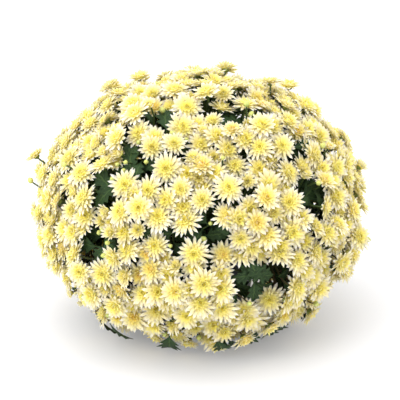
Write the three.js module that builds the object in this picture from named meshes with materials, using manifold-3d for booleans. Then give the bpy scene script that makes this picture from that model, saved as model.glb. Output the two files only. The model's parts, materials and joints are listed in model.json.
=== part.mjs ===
// A potted garden chrysanthemum grown as a ball: a plain nursery pot of soil, leafy shoots that rise
// from the soil and fork, and a spray of cream blooms on the end of every branch.
// Millimetres, +Z up. The origin is the centre of the pot's base, on the surface it stands on.
import * as THREE from "three";
import { ConvexHull } from "three/addons/math/ConvexHull.js";
import { mergeVertices } from "three/addons/utils/BufferGeometryUtils.js";
import Module from "manifold-3d";

const wasm = await Module();
wasm.setup();

// Pot
const POT_HEIGHT = 135;
const POT_RIM_RADIUS = 92;
const POT_BASE_RADIUS = 68;
const POT_WALL = 1.8;
const RIM_BAND_HEIGHT = 13;
const RIM_BAND_PROUD = 2.6;
const FOOT_WIDTH = 12;
const BASE_RECESS = 2.4;
const POT_SIDES = 20;
const DRAIN_HOLES = 4;
const DRAIN_RADIUS = 5;
const DRAIN_RING_RADIUS = 42;

// Soil
const SOIL_BELOW_RIM = 14;
const SOIL_CROWN = 4;
const SOIL_RELIEF = 1.1;
const SEAT_GAP = 0.3;
const HOLE_SIDES = 5;

// The ball, a flattened sphere that the middles of the blooms lie on
const BALL_RADIUS = 238;
const BALL_HALF_HEIGHT = 195;
const BALL_CENTRE_Z = 189;
const SKIRT_Z = 31;

// Blooms
const BLOOMS = 383;
const BLOOM_KINDS = [
  { share: 0.14, least: 12, most: 14.5, petals: 4, cleft: 0.5 },
  { share: 0.42, least: 15.5, most: 18.5, petals: 5, cleft: 0.58 },
  { share: 1, least: 19.5, most: 22.5, petals: 6, cleft: 0.66 },
];
const JITTER = 13;
const RELAX_SWEEPS = 16;
const CLOSENESS = 0.98;
const LIFT_LOW = -9;
const LIFT_HIGH = 5;
const TURN_UP = 0.14;
const WOBBLE = 0.2;
const CROWN_HEIGHT = 6.5;
const TIP_HEIGHT = 1.2;
const SPREAD = 1.14;
const CLEFT_DROP = 0.8;
const CALYX_DEPTH = 6;
const CALYX_RADIUS = 1.7;
const BLOOM_CLEARANCE = 0.2;

// Places where the foliage shows between the blooms: degrees right of the front, height, half width
const WINDOWS = [
  [21, 148, 26],
  [3, 230, 13],
  [-25, 354, 11],
  [-29, 307, 15],
  [-37, 273, 15],
  [22, 360, 11],
  [40, 356, 12],
  [49, 322, 11],
  [43, 261, 15],
  [-39, 192, 16],
  [-9, 220, 11],
  [-5, 80, 12],
  [110, 240, 16],
  [160, 180, 18],
  [205, 290, 14],
  [250, 210, 17],
];

// Sprays, in rings round the ball from the top down. Climb is the slope, in degrees, at which their
// branches leave the fork, depth is how far their stalks part below the blooms, and hang turns the
// end of the branch so that it comes down from above. Leaf is the length of the leaves.
const SPRAY_RINGS = [
  { z: 383, count: 1, turn: 0, climb: 90, depth: 62, hang: 0, leaf: 60 },
  { z: 345, count: 5, turn: 0.5, climb: 38, depth: 62, hang: 0, leaf: 66 },
  { z: 262, count: 10, turn: 0.5, climb: 70, depth: 62, hang: 0, leaf: 62 },
  { z: 150, count: 10, turn: 0, climb: 25, depth: 60, hang: 0, leaf: 56 },
  { z: 48, count: 10, turn: 0.5, climb: -5, depth: 47, hang: 2, leaf: 41 },
];
const KNOT_RADIUS = 8;
const STALK_RADIUS = 1.25;
const SEAT_RADIUS = 2.6;
const ROOT_SPACING = 2.8;
const ROOT_SWEEPS = 10;

// Shoots
const OUTER_SHOOTS = 10;
const INNER_SHOOTS = 2;
const TRUNK_RADIUS = 3.4;
const TRUNK_STATIONS = [0, 0.33, 0.66, 1];
const BRANCH_RADIUS = 2.3;
const FORK_RADIUS = 7.5;
const ROOTING_DEPTH = 16;
const SOIL_TOP = POT_HEIGHT - SOIL_BELOW_RIM;
// Where the two sorts of shoot root and fork: distances from the axis, and the fork's height
const OUTER_SHOOT = { root: 56, fork: 92, forkZ: SOIL_TOP + 52 };
const INNER_SHOOT = { root: 18, fork: 34, forkZ: SOIL_TOP + 92 };

// Leaves, two near the end of each branch. Each starts between two rings of its branch, which are
// given as distances back from the branch's end.
const LEAF_RINGS = [14, 9, 4];
const LEAF_THICKNESS = 2;
const LEAF_RISE = 0.45;
// Half of the lobed outline, base to tip: share of the length, share of the length to the side
const LEAF_HALF_OUTLINE = [
  [0.3, 0.3],
  [0.46, 0.15],
  [0.62, 0.36],
  [0.78, 0.14],
];

const CREAM = new THREE.MeshStandardMaterial({ color: "#f4e8ae", roughness: 0.75, metalness: 0 });
const LEAF_GREEN = new THREE.MeshStandardMaterial({ color: "#22341f", roughness: 0.7, metalness: 0 });
const POT_BLACK = new THREE.MeshStandardMaterial({ color: "#2a2b2b", roughness: 0.5, metalness: 0 });
const PEAT_BROWN = new THREE.MeshStandardMaterial({ color: "#3a2b20", roughness: 0.95, metalness: 0 });

const UP = new THREE.Vector3(0, 0, 1);
// A direction that no stem lies along, for turning the first ring of a stem
const ASLANT = new THREE.Vector3(0.86, -0.31, 0.4).normalize();
const GOLDEN_TURN = Math.PI * (3 - Math.sqrt(5));

// A plain seeded generator of numbers from 0 to 1, so that every build is the same
let seed = 20251;
function random() {
  seed = (seed * 1664525 + 1013904223) % 4294967296;
  return seed / 4294967296;
}

function between(low, high) {
  return low + (high - low) * random();
}

// The point of the ball's surface in the direction of a point, no lower than the skirt
function ontoBall(point) {
  const lowest = (SKIRT_Z - BALL_CENTRE_Z) / BALL_HALF_HEIGHT;
  const unit = new THREE.Vector3(
    point.x / BALL_RADIUS,
    point.y / BALL_RADIUS,
    (point.z - BALL_CENTRE_Z) / BALL_HALF_HEIGHT,
  ).normalize();
  if (unit.z < lowest) {
    const flat = Math.hypot(unit.x, unit.y);
    const wide = Math.sqrt(1 - lowest * lowest);
    unit.set((unit.x / flat) * wide, (unit.y / flat) * wide, lowest);
  }
  return new THREE.Vector3(
    unit.x * BALL_RADIUS,
    unit.y * BALL_RADIUS,
    BALL_CENTRE_Z + unit.z * BALL_HALF_HEIGHT,
  );
}

function ballNormal(point) {
  return new THREE.Vector3(
    point.x / BALL_RADIUS ** 2,
    point.y / BALL_RADIUS ** 2,
    (point.z - BALL_CENTRE_Z) / BALL_HALF_HEIGHT ** 2,
  ).normalize();
}

// The point of the ball at an angle right of the front, in degrees, and a height
function ballPoint(degrees, z) {
  const share = (z - BALL_CENTRE_Z) / BALL_HALF_HEIGHT;
  const wide = BALL_RADIUS * Math.sqrt(1 - share * share);
  const turn = (degrees * Math.PI) / 180;
  return new THREE.Vector3(wide * Math.sin(turn), -wide * Math.cos(turn), z);
}

// Blooms are spread by the golden angle, shaken, and then pushed apart until they no longer crowd
function bloomPlaces() {
  const lowest = (SKIRT_Z - BALL_CENTRE_Z) / BALL_HALF_HEIGHT;
  const places = [];
  for (let i = 0; i < BLOOMS; i++) {
    const level = 1 - ((i + 0.5) / BLOOMS) * (1 - lowest);
    const wide = Math.sqrt(1 - level * level);
    const start = new THREE.Vector3(
      BALL_RADIUS * wide * Math.cos(i * GOLDEN_TURN) + between(-JITTER, JITTER),
      BALL_RADIUS * wide * Math.sin(i * GOLDEN_TURN) + between(-JITTER, JITTER),
      BALL_CENTRE_Z + BALL_HALF_HEIGHT * level + between(-JITTER, JITTER),
    );
    const draw = random();
    const kind = BLOOM_KINDS.find((k) => draw < k.share);
    places.push({
      at: ontoBall(start),
      radius: between(kind.least, kind.most),
      petals: kind.petals,
      cleft: kind.cleft,
      lift: between(LIFT_LOW, LIFT_HIGH),
      wobble: new THREE.Vector3(between(-1, 1), between(-1, 1), between(-1, 1)),
      spin: between(0, 2 * Math.PI),
    });
  }
  const windows = WINDOWS.map(([degrees, z, size]) => ({ at: ballPoint(degrees, z), size }));
  for (let sweep = 0; sweep < RELAX_SWEEPS; sweep++) {
    const pushes = places.map((one) => {
      const push = new THREE.Vector3();
      for (const other of places) {
        const apart = one.at.clone().sub(other.at);
        const want = CLOSENESS * (one.radius + other.radius);
        const gap = apart.length();
        if (other !== one && gap < want) push.addScaledVector(apart, (0.45 * (want - gap)) / gap);
      }
      for (const window of windows) {
        const apart = one.at.clone().sub(window.at);
        const want = window.size + 0.75 * one.radius;
        const gap = apart.length();
        if (gap < want) push.addScaledVector(apart, (0.9 * (want - gap)) / gap);
      }
      return push;
    });
    places.forEach((one, i) => one.at.copy(ontoBall(one.at.add(pushes[i]))));
  }
  return places.map((one) => {
    const out = ballNormal(one.at);
    const face = out.clone().addScaledVector(UP, TURN_UP * (1 - out.z) ** 2);
    face.normalize().addScaledVector(one.wobble, WOBBLE).normalize();
    const middle = one.at.clone().addScaledVector(out, one.lift);
    return { ...one, surface: one.at.clone(), middle, face };
  });
}

// The middles of the sprays, each with the shoot that carries it
function sprayPlaces() {
  const places = [];
  SPRAY_RINGS.forEach((ring, level) => {
    for (let k = 0; k < ring.count; k++) {
      const at = ballPoint((360 * (k + ring.turn)) / ring.count, ring.z);
      const inner = ring.count < OUTER_SHOOTS;
      const shoot = inner ? OUTER_SHOOTS + (level === 0 || k < 2 ? 0 : 1) : k;
      places.push({ at, shoot, level, blooms: [] });
    }
  });
  return places;
}

// Two axes square to a direction. The first lies along the hint as nearly as it can, or turned away
// from it by an angle.
function axesAcross(direction, hint, angle = 0) {
  const first = hint.clone().addScaledVector(direction, -hint.dot(direction)).normalize();
  first.applyAxisAngle(direction, angle);
  return [first, direction.clone().cross(first)];
}

function ringPoint(middle, [first, second], radius, angle) {
  return middle
    .clone()
    .addScaledVector(first, radius * Math.cos(angle))
    .addScaledVector(second, radius * Math.sin(angle));
}

// A closed surface that is put together from corners, rings of corners and the faces between them
class Surface {
  points = [];
  faces = [];

  corner(point) {
    return this.points.push(point) - 1;
  }

  // A ring that goes anticlockwise as seen from where its direction leads
  ring(middle, axes, radius, sides) {
    const ring = [];
    for (let k = 0; k < sides; k++) {
      ring.push(this.corner(ringPoint(middle, axes, radius, (k * 2 * Math.PI) / sides)));
    }
    return ring;
  }

  // The band of faces from one ring to the next one along
  band(lower, upper) {
    let i = 0;
    let j = 0;
    while (i < lower.length || j < upper.length) {
      const a = lower[i % lower.length];
      const b = upper[j % upper.length];
      const behind = (i + 1) / lower.length < (j + 1) / upper.length;
      if (j >= upper.length || (i < lower.length && behind)) {
        this.faces.push(a, lower[(i + 1) % lower.length], b);
        i++;
      } else {
        this.faces.push(a, upper[(j + 1) % upper.length], b);
        j++;
      }
    }
  }

  // The faces from every edge of a ring to one corner above it
  cone(ring, apex) {
    ring.forEach((corner, k) => this.faces.push(corner, ring[(k + 1) % ring.length], apex));
  }

  lid(ring) {
    for (let k = 2; k < ring.length; k++) this.faces.push(ring[0], ring[k - 1], ring[k]);
  }

  // A knob where several rings meet: their convex hull, left open inside each ring
  knob(rings) {
    const owners = new Map();
    rings.forEach((ring, owner) =>
      ring.forEach((index) => owners.set(this.points[index], { owner, index })),
    );
    const hull = new ConvexHull().setFromPoints([...owners.keys()]);
    for (const face of hull.faces) {
      const corners = [];
      let edge = face.edge;
      do {
        corners.push(owners.get(edge.head().point));
        edge = edge.next;
      } while (edge !== face.edge);
      const inRing = corners.every((corner) => corner.owner === corners[0].owner);
      if (!inRing) this.faces.push(...corners.map((corner) => corner.index));
    }
  }

  // The sides of a stem between two rings, all but one that may be left open for a leaf
  sides(lower, upper, open) {
    lower.forEach((corner, k) => {
      const next = (k + 1) % lower.length;
      if (k === open) return;
      this.faces.push(corner, lower[next], upper[next]);
      this.faces.push(corner, upper[next], upper[k]);
    });
  }

  // A lobed leaf out of the open side of a stem. The blade is thickest along its middle, and it
  // arches and droops towards its tip.
  leaf(lower, upper, open, sky, length) {
    const next = (open + 1) % lower.length;
    const root = [lower[open], lower[next], upper[next], upper[open]];
    const [a, b, c, d] = root.map((index) => this.points[index]);
    const base = a.clone().add(b).add(c).add(d).divideScalar(4);
    const away = b.clone().sub(a).cross(d.clone().sub(a)).normalize();
    const along = away.addScaledVector(sky, LEAF_RISE).normalize();
    const [lift, side] = axesAcross(along, sky);
    const place = (t, w, rise) =>
      this.corner(
        base
          .clone()
          .addScaledVector(along, t * length)
          .addScaledVector(side, w * length)
          .addScaledVector(lift, rise + length * (0.2 * t * (1 - t) - 0.1 * t * t - 0.25 * w * w)),
      );
    const rim = [
      ...LEAF_HALF_OUTLINE.map(([t, w]) => place(t, w, 0)),
      place(1, 0, 0),
      ...[...LEAF_HALF_OUTLINE].reverse().map(([t, w]) => place(t, -w, 0)),
    ];
    this.cone([root[2], root[3], ...rim], place(0.5, 0, LEAF_THICKNESS / 2));
    this.cone([root[0], root[1], ...[...rim].reverse()], place(0.5, 0, -LEAF_THICKNESS / 2));
    this.faces.push(rim[0], root[3], root[0]);
    this.faces.push(root[2], rim[rim.length - 1], root[1]);
  }

  geometry() {
    const geometry = new THREE.BufferGeometry().setFromPoints(this.points);
    geometry.setIndex(this.faces);
    return geometry;
  }
}

// How far a bloom reaches in a direction before it would meet one of its neighbours
function reachOf(bloom, neighbours, direction, height, wanted) {
  let reach = wanted;
  for (const other of neighbours) {
    const apart = other.middle.clone().sub(bloom.middle);
    const gap = apart.length();
    const along = direction.dot(apart);
    const room = gap * (gap / 2 - BLOOM_CLEARANCE) - height * bloom.face.dot(apart);
    if (along > 0) reach = Math.min(reach, room / along);
  }
  return reach;
}

// Directions in which the stalks leave a knot: towards their blooms, but never so close together
// that their roots would meet
function stalkDirections(spray, calyxes) {
  const seat = spray.seat.clone().sub(spray.knot).normalize();
  const outs = calyxes.map((calyx) => calyx.clone().sub(spray.knot).normalize());
  for (let sweep = 0; sweep < ROOT_SWEEPS; sweep++) {
    for (const one of outs) {
      for (const other of [seat, ...outs]) {
        if (one === other) continue;
        const apart = one.clone().sub(other);
        const spacing = other === seat ? ROOT_SPACING + SEAT_RADIUS - STALK_RADIUS : ROOT_SPACING;
        const want = spacing / KNOT_RADIUS;
        const gap = apart.length();
        if (gap < want) one.addScaledVector(apart, (0.5 * (want - gap)) / gap).normalize();
      }
    }
  }
  return outs;
}

// A spray is one solid: a knob where the stalks part, the stalks, and a star of petals on each
function sprayGeometry(spray, blooms) {
  const surface = new Surface();
  const seatDirection = spray.seat.clone().sub(spray.knot).normalize();
  const seat = surface.ring(spray.seat, axesAcross(seatDirection, ASLANT), SEAT_RADIUS, 3);
  const rings = [seat];
  surface.lid(seat);
  const calyxes = spray.blooms.map((bloom) =>
    bloom.middle.clone().addScaledVector(bloom.face, -CALYX_DEPTH),
  );
  const outs = stalkDirections(spray, calyxes);
  for (const [index, bloom] of spray.blooms.entries()) {
    const calyx = calyxes[index];
    const rootAxes = axesAcross(outs[index], ASLANT, bloom.spin);
    const rootDistance = Math.sqrt(KNOT_RADIUS ** 2 - STALK_RADIUS ** 2);
    const rootMiddle = spray.knot.clone().addScaledVector(outs[index], rootDistance);
    const root = surface.ring(rootMiddle, rootAxes, STALK_RADIUS, 3);
    const out = calyx.clone().sub(rootMiddle).normalize();
    // The upper end of the stalk faces halfway between the stalk and the bloom
    const neckNormal = out.clone().add(bloom.face).normalize();
    const neckAxes = axesAcross(neckNormal, rootAxes[0]);
    const neck = surface.ring(calyx, neckAxes, CALYX_RADIUS, 3);
    // A tip and a cleft in turn, from the angle of the neck's first corner
    const faceAxes = axesAcross(bloom.face, neckAxes[0]);
    const near = 2.6 * bloom.radius + 24;
    const neighbours = blooms.filter(
      (other) => other !== bloom && other.middle.distanceTo(bloom.middle) < near,
    );
    const rim = [];
    for (let k = 0; k < 2 * bloom.petals; k++) {
      const direction = ringPoint(new THREE.Vector3(), faceAxes, 1, (k * Math.PI) / bloom.petals);
      const tip = k % 2 === 0;
      const wanted = (tip ? 1 : bloom.cleft) * SPREAD * bloom.radius;
      const height = tip ? TIP_HEIGHT : -CLEFT_DROP;
      const reach = reachOf(bloom, neighbours, direction, height, wanted);
      const corner = bloom.middle.clone().addScaledVector(direction, reach);
      rim.push(surface.corner(corner.addScaledVector(bloom.face, height)));
    }
    const crownHeight = (CROWN_HEIGHT * bloom.radius) / 21;
    const crown = surface.corner(bloom.middle.clone().addScaledVector(bloom.face, crownHeight));
    surface.band(root, neck);
    surface.band(neck, rim);
    surface.cone(rim, crown);
    rings.push(root);
  }
  surface.knob(rings);
  return surface.geometry();
}

// The fork of a shoot, its root in the soil, and the trunk between them
function placeShoots(sprays) {
  const shoots = [];
  for (let k = 0; k < OUTER_SHOOTS + INNER_SHOOTS; k++) {
    const own = sprays.filter((spray) => spray.shoot === k);
    const plan = k < OUTER_SHOOTS ? OUTER_SHOOT : INNER_SHOOT;
    const heading = own.reduce((sum, spray) => sum.add(spray.knot), new THREE.Vector3());
    heading.setZ(0).normalize();
    const root = heading.clone().multiplyScalar(plan.root).setZ(SOIL_TOP - ROOTING_DEPTH);
    const fork = heading.clone().multiplyScalar(plan.fork).setZ(plan.forkZ);
    const arrive = heading.clone().multiplyScalar(0.45).add(UP).normalize();
    const back = Math.sqrt(FORK_RADIUS ** 2 - TRUNK_RADIUS ** 2);
    const end = fork.clone().addScaledVector(arrive, -back);
    const reach = 0.36 * end.distanceTo(root);
    const trunk = new THREE.CubicBezierCurve3(
      root,
      root.clone().addScaledVector(UP, reach),
      end.clone().addScaledVector(arrive, -reach),
      end,
    );
    shoots.push({ own, fork, trunk });
  }
  return shoots;
}

// The rings of a stem along a curve, at distances from its start
function stemRings(surface, curve, distances, radius, sides) {
  let first = ASLANT;
  return distances.map((distance) => {
    const share = distance / curve.getLength();
    const axes = axesAcross(curve.getTangentAt(share), first);
    first = axes[0];
    return surface.ring(curve.getPointAt(share), axes, radius, sides);
  });
}

// A shoot is one solid: its trunk, the knob of its fork, and its branches with their leaves
function shootGeometry(shoot) {
  const surface = new Surface();
  const trunkStations = TRUNK_STATIONS.map((share) => share * shoot.trunk.getLength());
  const trunk = stemRings(surface, shoot.trunk, trunkStations, TRUNK_RADIUS, 4);
  surface.lid([...trunk[0]].reverse());
  trunk.slice(1).forEach((ring, i) => surface.sides(trunk[i], ring));
  const forkRings = [trunk[trunk.length - 1]];
  for (const spray of shoot.own) {
    const plan = SPRAY_RINGS[spray.level];
    const climb = (plan.climb * Math.PI) / 180;
    const leave = spray.knot.clone().sub(shoot.fork).setZ(0).normalize();
    leave.multiplyScalar(Math.cos(climb)).setZ(Math.sin(climb));
    const arrive = spray.knot.clone().sub(spray.seat).normalize();
    const forward = Math.sqrt(FORK_RADIUS ** 2 - BRANCH_RADIUS ** 2);
    const start = shoot.fork.clone().addScaledVector(leave, forward);
    const end = spray.seat.clone().addScaledVector(arrive, -SEAT_GAP);
    const reach = 0.4 * end.distanceTo(start);
    const curve = new THREE.CubicBezierCurve3(
      start,
      start.clone().addScaledVector(leave, reach),
      end.clone().addScaledVector(arrive, -reach),
      end,
    );
    const length = curve.getLength();
    const leafStations = LEAF_RINGS.map((back) => length - back);
    const stations = [0, 0.45 * leafStations[0], ...leafStations, length];
    const rings = stemRings(surface, curve, stations, BRANCH_RADIUS, 3);
    forkRings.push(rings[0]);
    surface.lid(rings[rings.length - 1]);
    // The leaves are on the two sides that look most to the sky
    const ends = rings[rings.length - 1].map((index) => surface.points[index]);
    const looks = ends.map((point, k) => point.clone().add(ends[(k + 1) % 3]).z);
    const order = [0, 1, 2].sort((k, m) => looks[m] - looks[k]);
    rings.slice(1).forEach((ring, i) => {
      const open = i === 2 ? order[0] : i === 3 ? order[1] : -1;
      surface.sides(rings[i], ring, open);
      if (open >= 0) surface.leaf(rings[i], ring, open, ballNormal(spray.at), plan.leaf);
    });
  }
  surface.knob(forkRings);
  return surface.geometry();
}

// A three.js geometry as a solid for joining and cutting
function solid(geometry) {
  const bare = geometry.clone();
  bare.deleteAttribute("normal");
  bare.deleteAttribute("uv");
  const merged = mergeVertices(bare, 1e-4);
  return new wasm.Manifold(
    new wasm.Mesh({
      numProp: 3,
      vertProperties: new Float32Array(merged.attributes.position.array),
      triVerts: new Uint32Array(merged.index.array),
    }),
  );
}

function geometryOf(manifold) {
  const mesh = manifold.getMesh();
  const geometry = new THREE.BufferGeometry();
  geometry.setAttribute("position", new THREE.BufferAttribute(mesh.vertProperties, 3));
  geometry.setIndex(new THREE.BufferAttribute(mesh.triVerts, 1));
  return geometry;
}

// The pot: a lathed wall with a rim band and a foot ring, and holes that let water out of the base
function potSolid() {
  const radiusAt = (z) => POT_BASE_RADIUS + ((POT_RIM_RADIUS - POT_BASE_RADIUS) * z) / POT_HEIGHT;
  const bandFoot = POT_HEIGHT - RIM_BAND_HEIGHT;
  const floor = BASE_RECESS + POT_WALL;
  const profile = [
    [0, BASE_RECESS],
    [POT_BASE_RADIUS - FOOT_WIDTH, BASE_RECESS],
    [POT_BASE_RADIUS - FOOT_WIDTH + 2, 0],
    [POT_BASE_RADIUS, 0],
    [radiusAt(bandFoot), bandFoot],
    [radiusAt(bandFoot) + RIM_BAND_PROUD, bandFoot],
    [POT_RIM_RADIUS + RIM_BAND_PROUD, POT_HEIGHT],
    [POT_RIM_RADIUS - POT_WALL, POT_HEIGHT],
    [radiusAt(floor) - POT_WALL, floor],
    [0, floor],
  ];
  const wall = solid(
    new THREE.LatheGeometry(
      profile.map(([r, z]) => new THREE.Vector2(r, z)),
      POT_SIDES,
    ).rotateX(Math.PI / 2),
  );
  const holes = [];
  for (let k = 0; k < DRAIN_HOLES; k++) {
    const turn = ((k + 0.5) * 2 * Math.PI) / DRAIN_HOLES;
    const hole = new THREE.CylinderGeometry(DRAIN_RADIUS, DRAIN_RADIUS, 4 * POT_WALL, 6);
    hole.rotateX(Math.PI / 2);
    hole.translate(DRAIN_RING_RADIUS * Math.cos(turn), DRAIN_RING_RADIUS * Math.sin(turn), floor);
    holes.push(solid(hole));
  }
  return holes.reduce((pot, hole) => pot.subtract(hole), wall);
}

// The soil: it fills the pot, with a low crown, a crumbly top and a plain hole for each shoot
function soilSolid(shoots) {
  const bottom = BASE_RECESS + POT_WALL + SEAT_GAP;
  const insideAt = (z) =>
    POT_BASE_RADIUS + ((POT_RIM_RADIUS - POT_BASE_RADIUS) * z) / POT_HEIGHT - POT_WALL - SEAT_GAP;
  const profile = [
    [0, bottom],
    [insideAt(bottom), bottom],
    [insideAt(SOIL_TOP - 2), SOIL_TOP - 2],
    [0.78 * insideAt(SOIL_TOP), SOIL_TOP],
    [0.42 * insideAt(SOIL_TOP), SOIL_TOP + 0.7 * SOIL_CROWN],
    [0, SOIL_TOP + SOIL_CROWN],
  ];
  const geometry = new THREE.LatheGeometry(
    profile.map(([r, z]) => new THREE.Vector2(r, z)),
    POT_SIDES,
  ).rotateX(Math.PI / 2);
  const position = geometry.attributes.position;
  for (let i = 0; i < position.count; i++) {
    const [x, y, z] = [position.getX(i), position.getY(i), position.getZ(i)];
    const relief = SOIL_RELIEF * Math.sin(0.31 * x + 2) * Math.cos(0.27 * y);
    if (z > SOIL_TOP - 1) position.setZ(i, z + relief);
  }
  const holes = shoots.map((shoot) => {
    const root = shoot.trunk.getPointAt(0);
    const heading = shoot.trunk.getPointAt(TRUNK_STATIONS[1]).sub(root).normalize();
    const depth = ROOTING_DEPTH + 14;
    const radius = (TRUNK_RADIUS + SEAT_GAP) / Math.cos(Math.PI / HOLE_SIDES);
    const hole = new THREE.CylinderGeometry(radius, radius, depth, HOLE_SIDES);
    hole.rotateX(Math.PI / 2);
    hole.applyQuaternion(new THREE.Quaternion().setFromUnitVectors(UP, heading));
    const middle = root.addScaledVector(heading, depth / 2 - 1);
    return solid(hole.translate(middle.x, middle.y, middle.z));
  });
  return holes.reduce((soil, hole) => soil.subtract(hole), solid(geometry));
}

function mesh(name, geometry, material) {
  const made = new THREE.Mesh(geometry, material);
  made.name = name;
  return made;
}

function numbered(name, index) {
  return name + "_" + String(index + 1).padStart(2, "0");
}

const blooms = bloomPlaces();
const sprays = sprayPlaces();
for (const bloom of blooms) {
  const distances = sprays.map((spray) => spray.at.distanceTo(bloom.surface));
  sprays[distances.indexOf(Math.min(...distances))].blooms.push(bloom);
}
for (const spray of sprays) {
  const middle = spray.blooms.reduce((sum, bloom) => sum.add(bloom.surface), new THREE.Vector3());
  middle.divideScalar(spray.blooms.length);
  const { depth, hang } = SPRAY_RINGS[spray.level];
  const outwards = spray.blooms.reduce((sum, bloom) => sum.add(bloom.face), ballNormal(spray.at));
  const inwards = outwards.normalize().negate();
  spray.knot = middle.addScaledVector(inwards, depth);
  spray.seat = spray.knot.clone();
  spray.seat.addScaledVector(inwards.addScaledVector(UP, hang).normalize(), KNOT_RADIUS);
}
const shoots = placeShoots(sprays);

const group = new THREE.Group();
group.add(mesh("pot", geometryOf(potSolid()), POT_BLACK));
group.add(mesh("soil", geometryOf(soilSolid(shoots)), PEAT_BROWN));
shoots.forEach((shoot, k) => {
  group.add(mesh(numbered("shoot", k), shootGeometry(shoot), LEAF_GREEN));
});
sprays.forEach((spray, k) => {
  group.add(mesh(numbered("spray", k), sprayGeometry(spray, blooms), CREAM));
});

export default group;
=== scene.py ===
"""Looks for a potted garden chrysanthemum that has grown into a ball of cream blooms.

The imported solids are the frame. Every piece made here goes where its solid is: the blooms and
their stalks by the same rule and the same draws, the leaves on the same branches, and a smooth
pot and crumbly soil in place of the faceted ones. Metres, +Z up.
"""

import json
import math
from collections import namedtuple

import bmesh
import bpy
import numpy as np
from bpy.props import FloatProperty, FloatVectorProperty, IntProperty, PointerProperty
from mathutils import Matrix, Vector

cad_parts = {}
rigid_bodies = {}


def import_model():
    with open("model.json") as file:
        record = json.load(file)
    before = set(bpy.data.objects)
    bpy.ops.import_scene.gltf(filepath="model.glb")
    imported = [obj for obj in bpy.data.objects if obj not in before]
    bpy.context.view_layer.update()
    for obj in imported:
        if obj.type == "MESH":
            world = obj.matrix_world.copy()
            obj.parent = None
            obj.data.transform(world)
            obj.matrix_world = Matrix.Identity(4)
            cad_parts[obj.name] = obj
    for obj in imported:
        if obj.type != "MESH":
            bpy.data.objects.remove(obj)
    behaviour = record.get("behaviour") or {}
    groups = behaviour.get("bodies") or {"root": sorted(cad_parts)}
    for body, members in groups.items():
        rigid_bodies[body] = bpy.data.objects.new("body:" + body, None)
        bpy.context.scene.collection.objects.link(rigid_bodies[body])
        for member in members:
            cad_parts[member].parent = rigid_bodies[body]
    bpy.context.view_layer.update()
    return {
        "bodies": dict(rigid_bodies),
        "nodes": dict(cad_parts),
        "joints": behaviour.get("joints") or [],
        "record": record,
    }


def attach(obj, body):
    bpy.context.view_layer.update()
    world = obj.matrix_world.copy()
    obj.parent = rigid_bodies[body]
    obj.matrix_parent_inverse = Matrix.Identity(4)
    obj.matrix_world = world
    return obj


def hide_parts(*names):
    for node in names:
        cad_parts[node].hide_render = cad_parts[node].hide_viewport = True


bl_info = {
    "name": "Potted garden chrysanthemum",
    "version": (1, 0, 0),
    "blender": (4, 5, 0),
    "location": "3D View > Sidebar > Plant",
    "description": "Grows a ball of cream chrysanthemum blooms over a nursery pot",
    "category": "Add Mesh",
}

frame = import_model()

MM = 0.001
UP = Vector((0, 0, 1))
# Square to no stem of the plant
ASLANT = Vector((0.86, -0.31, 0.4))
GOLDEN_TURN = math.pi * (3 - math.sqrt(5))

# The ball that the middles of the blooms lie on, a flattened sphere cut off at the skirt
BALL_RADIUS = 238 * MM
BALL_HALF_HEIGHT = 195 * MM
BALL_CENTRE_Z = 189 * MM
SKIRT_Z = 31 * MM
SKIRT_LEVEL = (SKIRT_Z - BALL_CENTRE_Z) / BALL_HALF_HEIGHT

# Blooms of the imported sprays. Share is the upper end of the kind's range in a draw from 0 to 1.
BLOOMS = 383
BloomKind = namedtuple("BloomKind", "share least most model")
BLOOM_KINDS = [
    BloomKind(0.14, 12 * MM, 14.5 * MM, "half"),
    BloomKind(0.42, 15.5 * MM, 18.5 * MM, "cupped"),
    BloomKind(1, 19.5 * MM, 22.5 * MM, "open"),
]
BLOOM_SEED = 20251
JITTER = 13 * MM
RELAX_SWEEPS = 16
CLOSENESS = 0.98
# How much of an overlap each sweep takes out, between blooms and at a window, and how much of a
# bloom's radius stays out of a window
PUSH = 0.45
WINDOW_PUSH = 0.9
WINDOW_CLEAR = 0.75
LIFTS = (-9 * MM, 5 * MM)
TURN_UP = 0.14
WOBBLE = 0.2

# Places where the foliage shows between the blooms: degrees right of the front, height, half width
WINDOWS = [
    (degrees, z * MM, size * MM)
    for degrees, z, size in (
        (21, 148, 26),
        (3, 230, 13),
        (-25, 354, 11),
        (-29, 307, 15),
        (-37, 273, 15),
        (22, 360, 11),
        (40, 356, 12),
        (49, 322, 11),
        (43, 261, 15),
        (-39, 192, 16),
        (-9, 220, 11),
        (-5, 80, 12),
        (110, 240, 16),
        (160, 180, 18),
        (205, 290, 14),
        (250, 210, 17),
    )
]

# Sprays, in rings round the ball from the top down. Climb is the slope, in degrees, at which their
# branches leave the fork, depth is how far their stalks part below the blooms, and hang turns the
# end of the branch so that it comes down from above. Leaf is the length of the branch's leaves.
SprayRing = namedtuple("SprayRing", "z count turn climb depth hang leaf")
SPRAY_RINGS = [
    SprayRing(383 * MM, 1, 0, 90, 62 * MM, 0, 60 * MM),
    SprayRing(345 * MM, 5, 0.5, 38, 62 * MM, 0, 66 * MM),
    SprayRing(262 * MM, 10, 0.5, 70, 62 * MM, 0, 62 * MM),
    SprayRing(150 * MM, 10, 0, 25, 60 * MM, 0, 56 * MM),
    SprayRing(48 * MM, 10, 0.5, -5, 47 * MM, 2, 41 * MM),
]
KNOT_RADIUS = 8 * MM
STALK_RADIUS = 1.25 * MM

OUTER_SHOOTS = 10
INNER_SHOOTS = 2
TRUNK_RADIUS = 3.4 * MM
BRANCH_RADIUS = 2.3 * MM
FORK_RADIUS = 7.5 * MM
ROOTING_DEPTH = 16 * MM
SOIL_TOP = 121 * MM
ShootPlan = namedtuple("ShootPlan", "root fork fork_z")
OUTER_SHOOT = ShootPlan(56 * MM, 92 * MM, SOIL_TOP + 52 * MM)
INNER_SHOOT = ShootPlan(18 * MM, 34 * MM, SOIL_TOP + 92 * MM)
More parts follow.
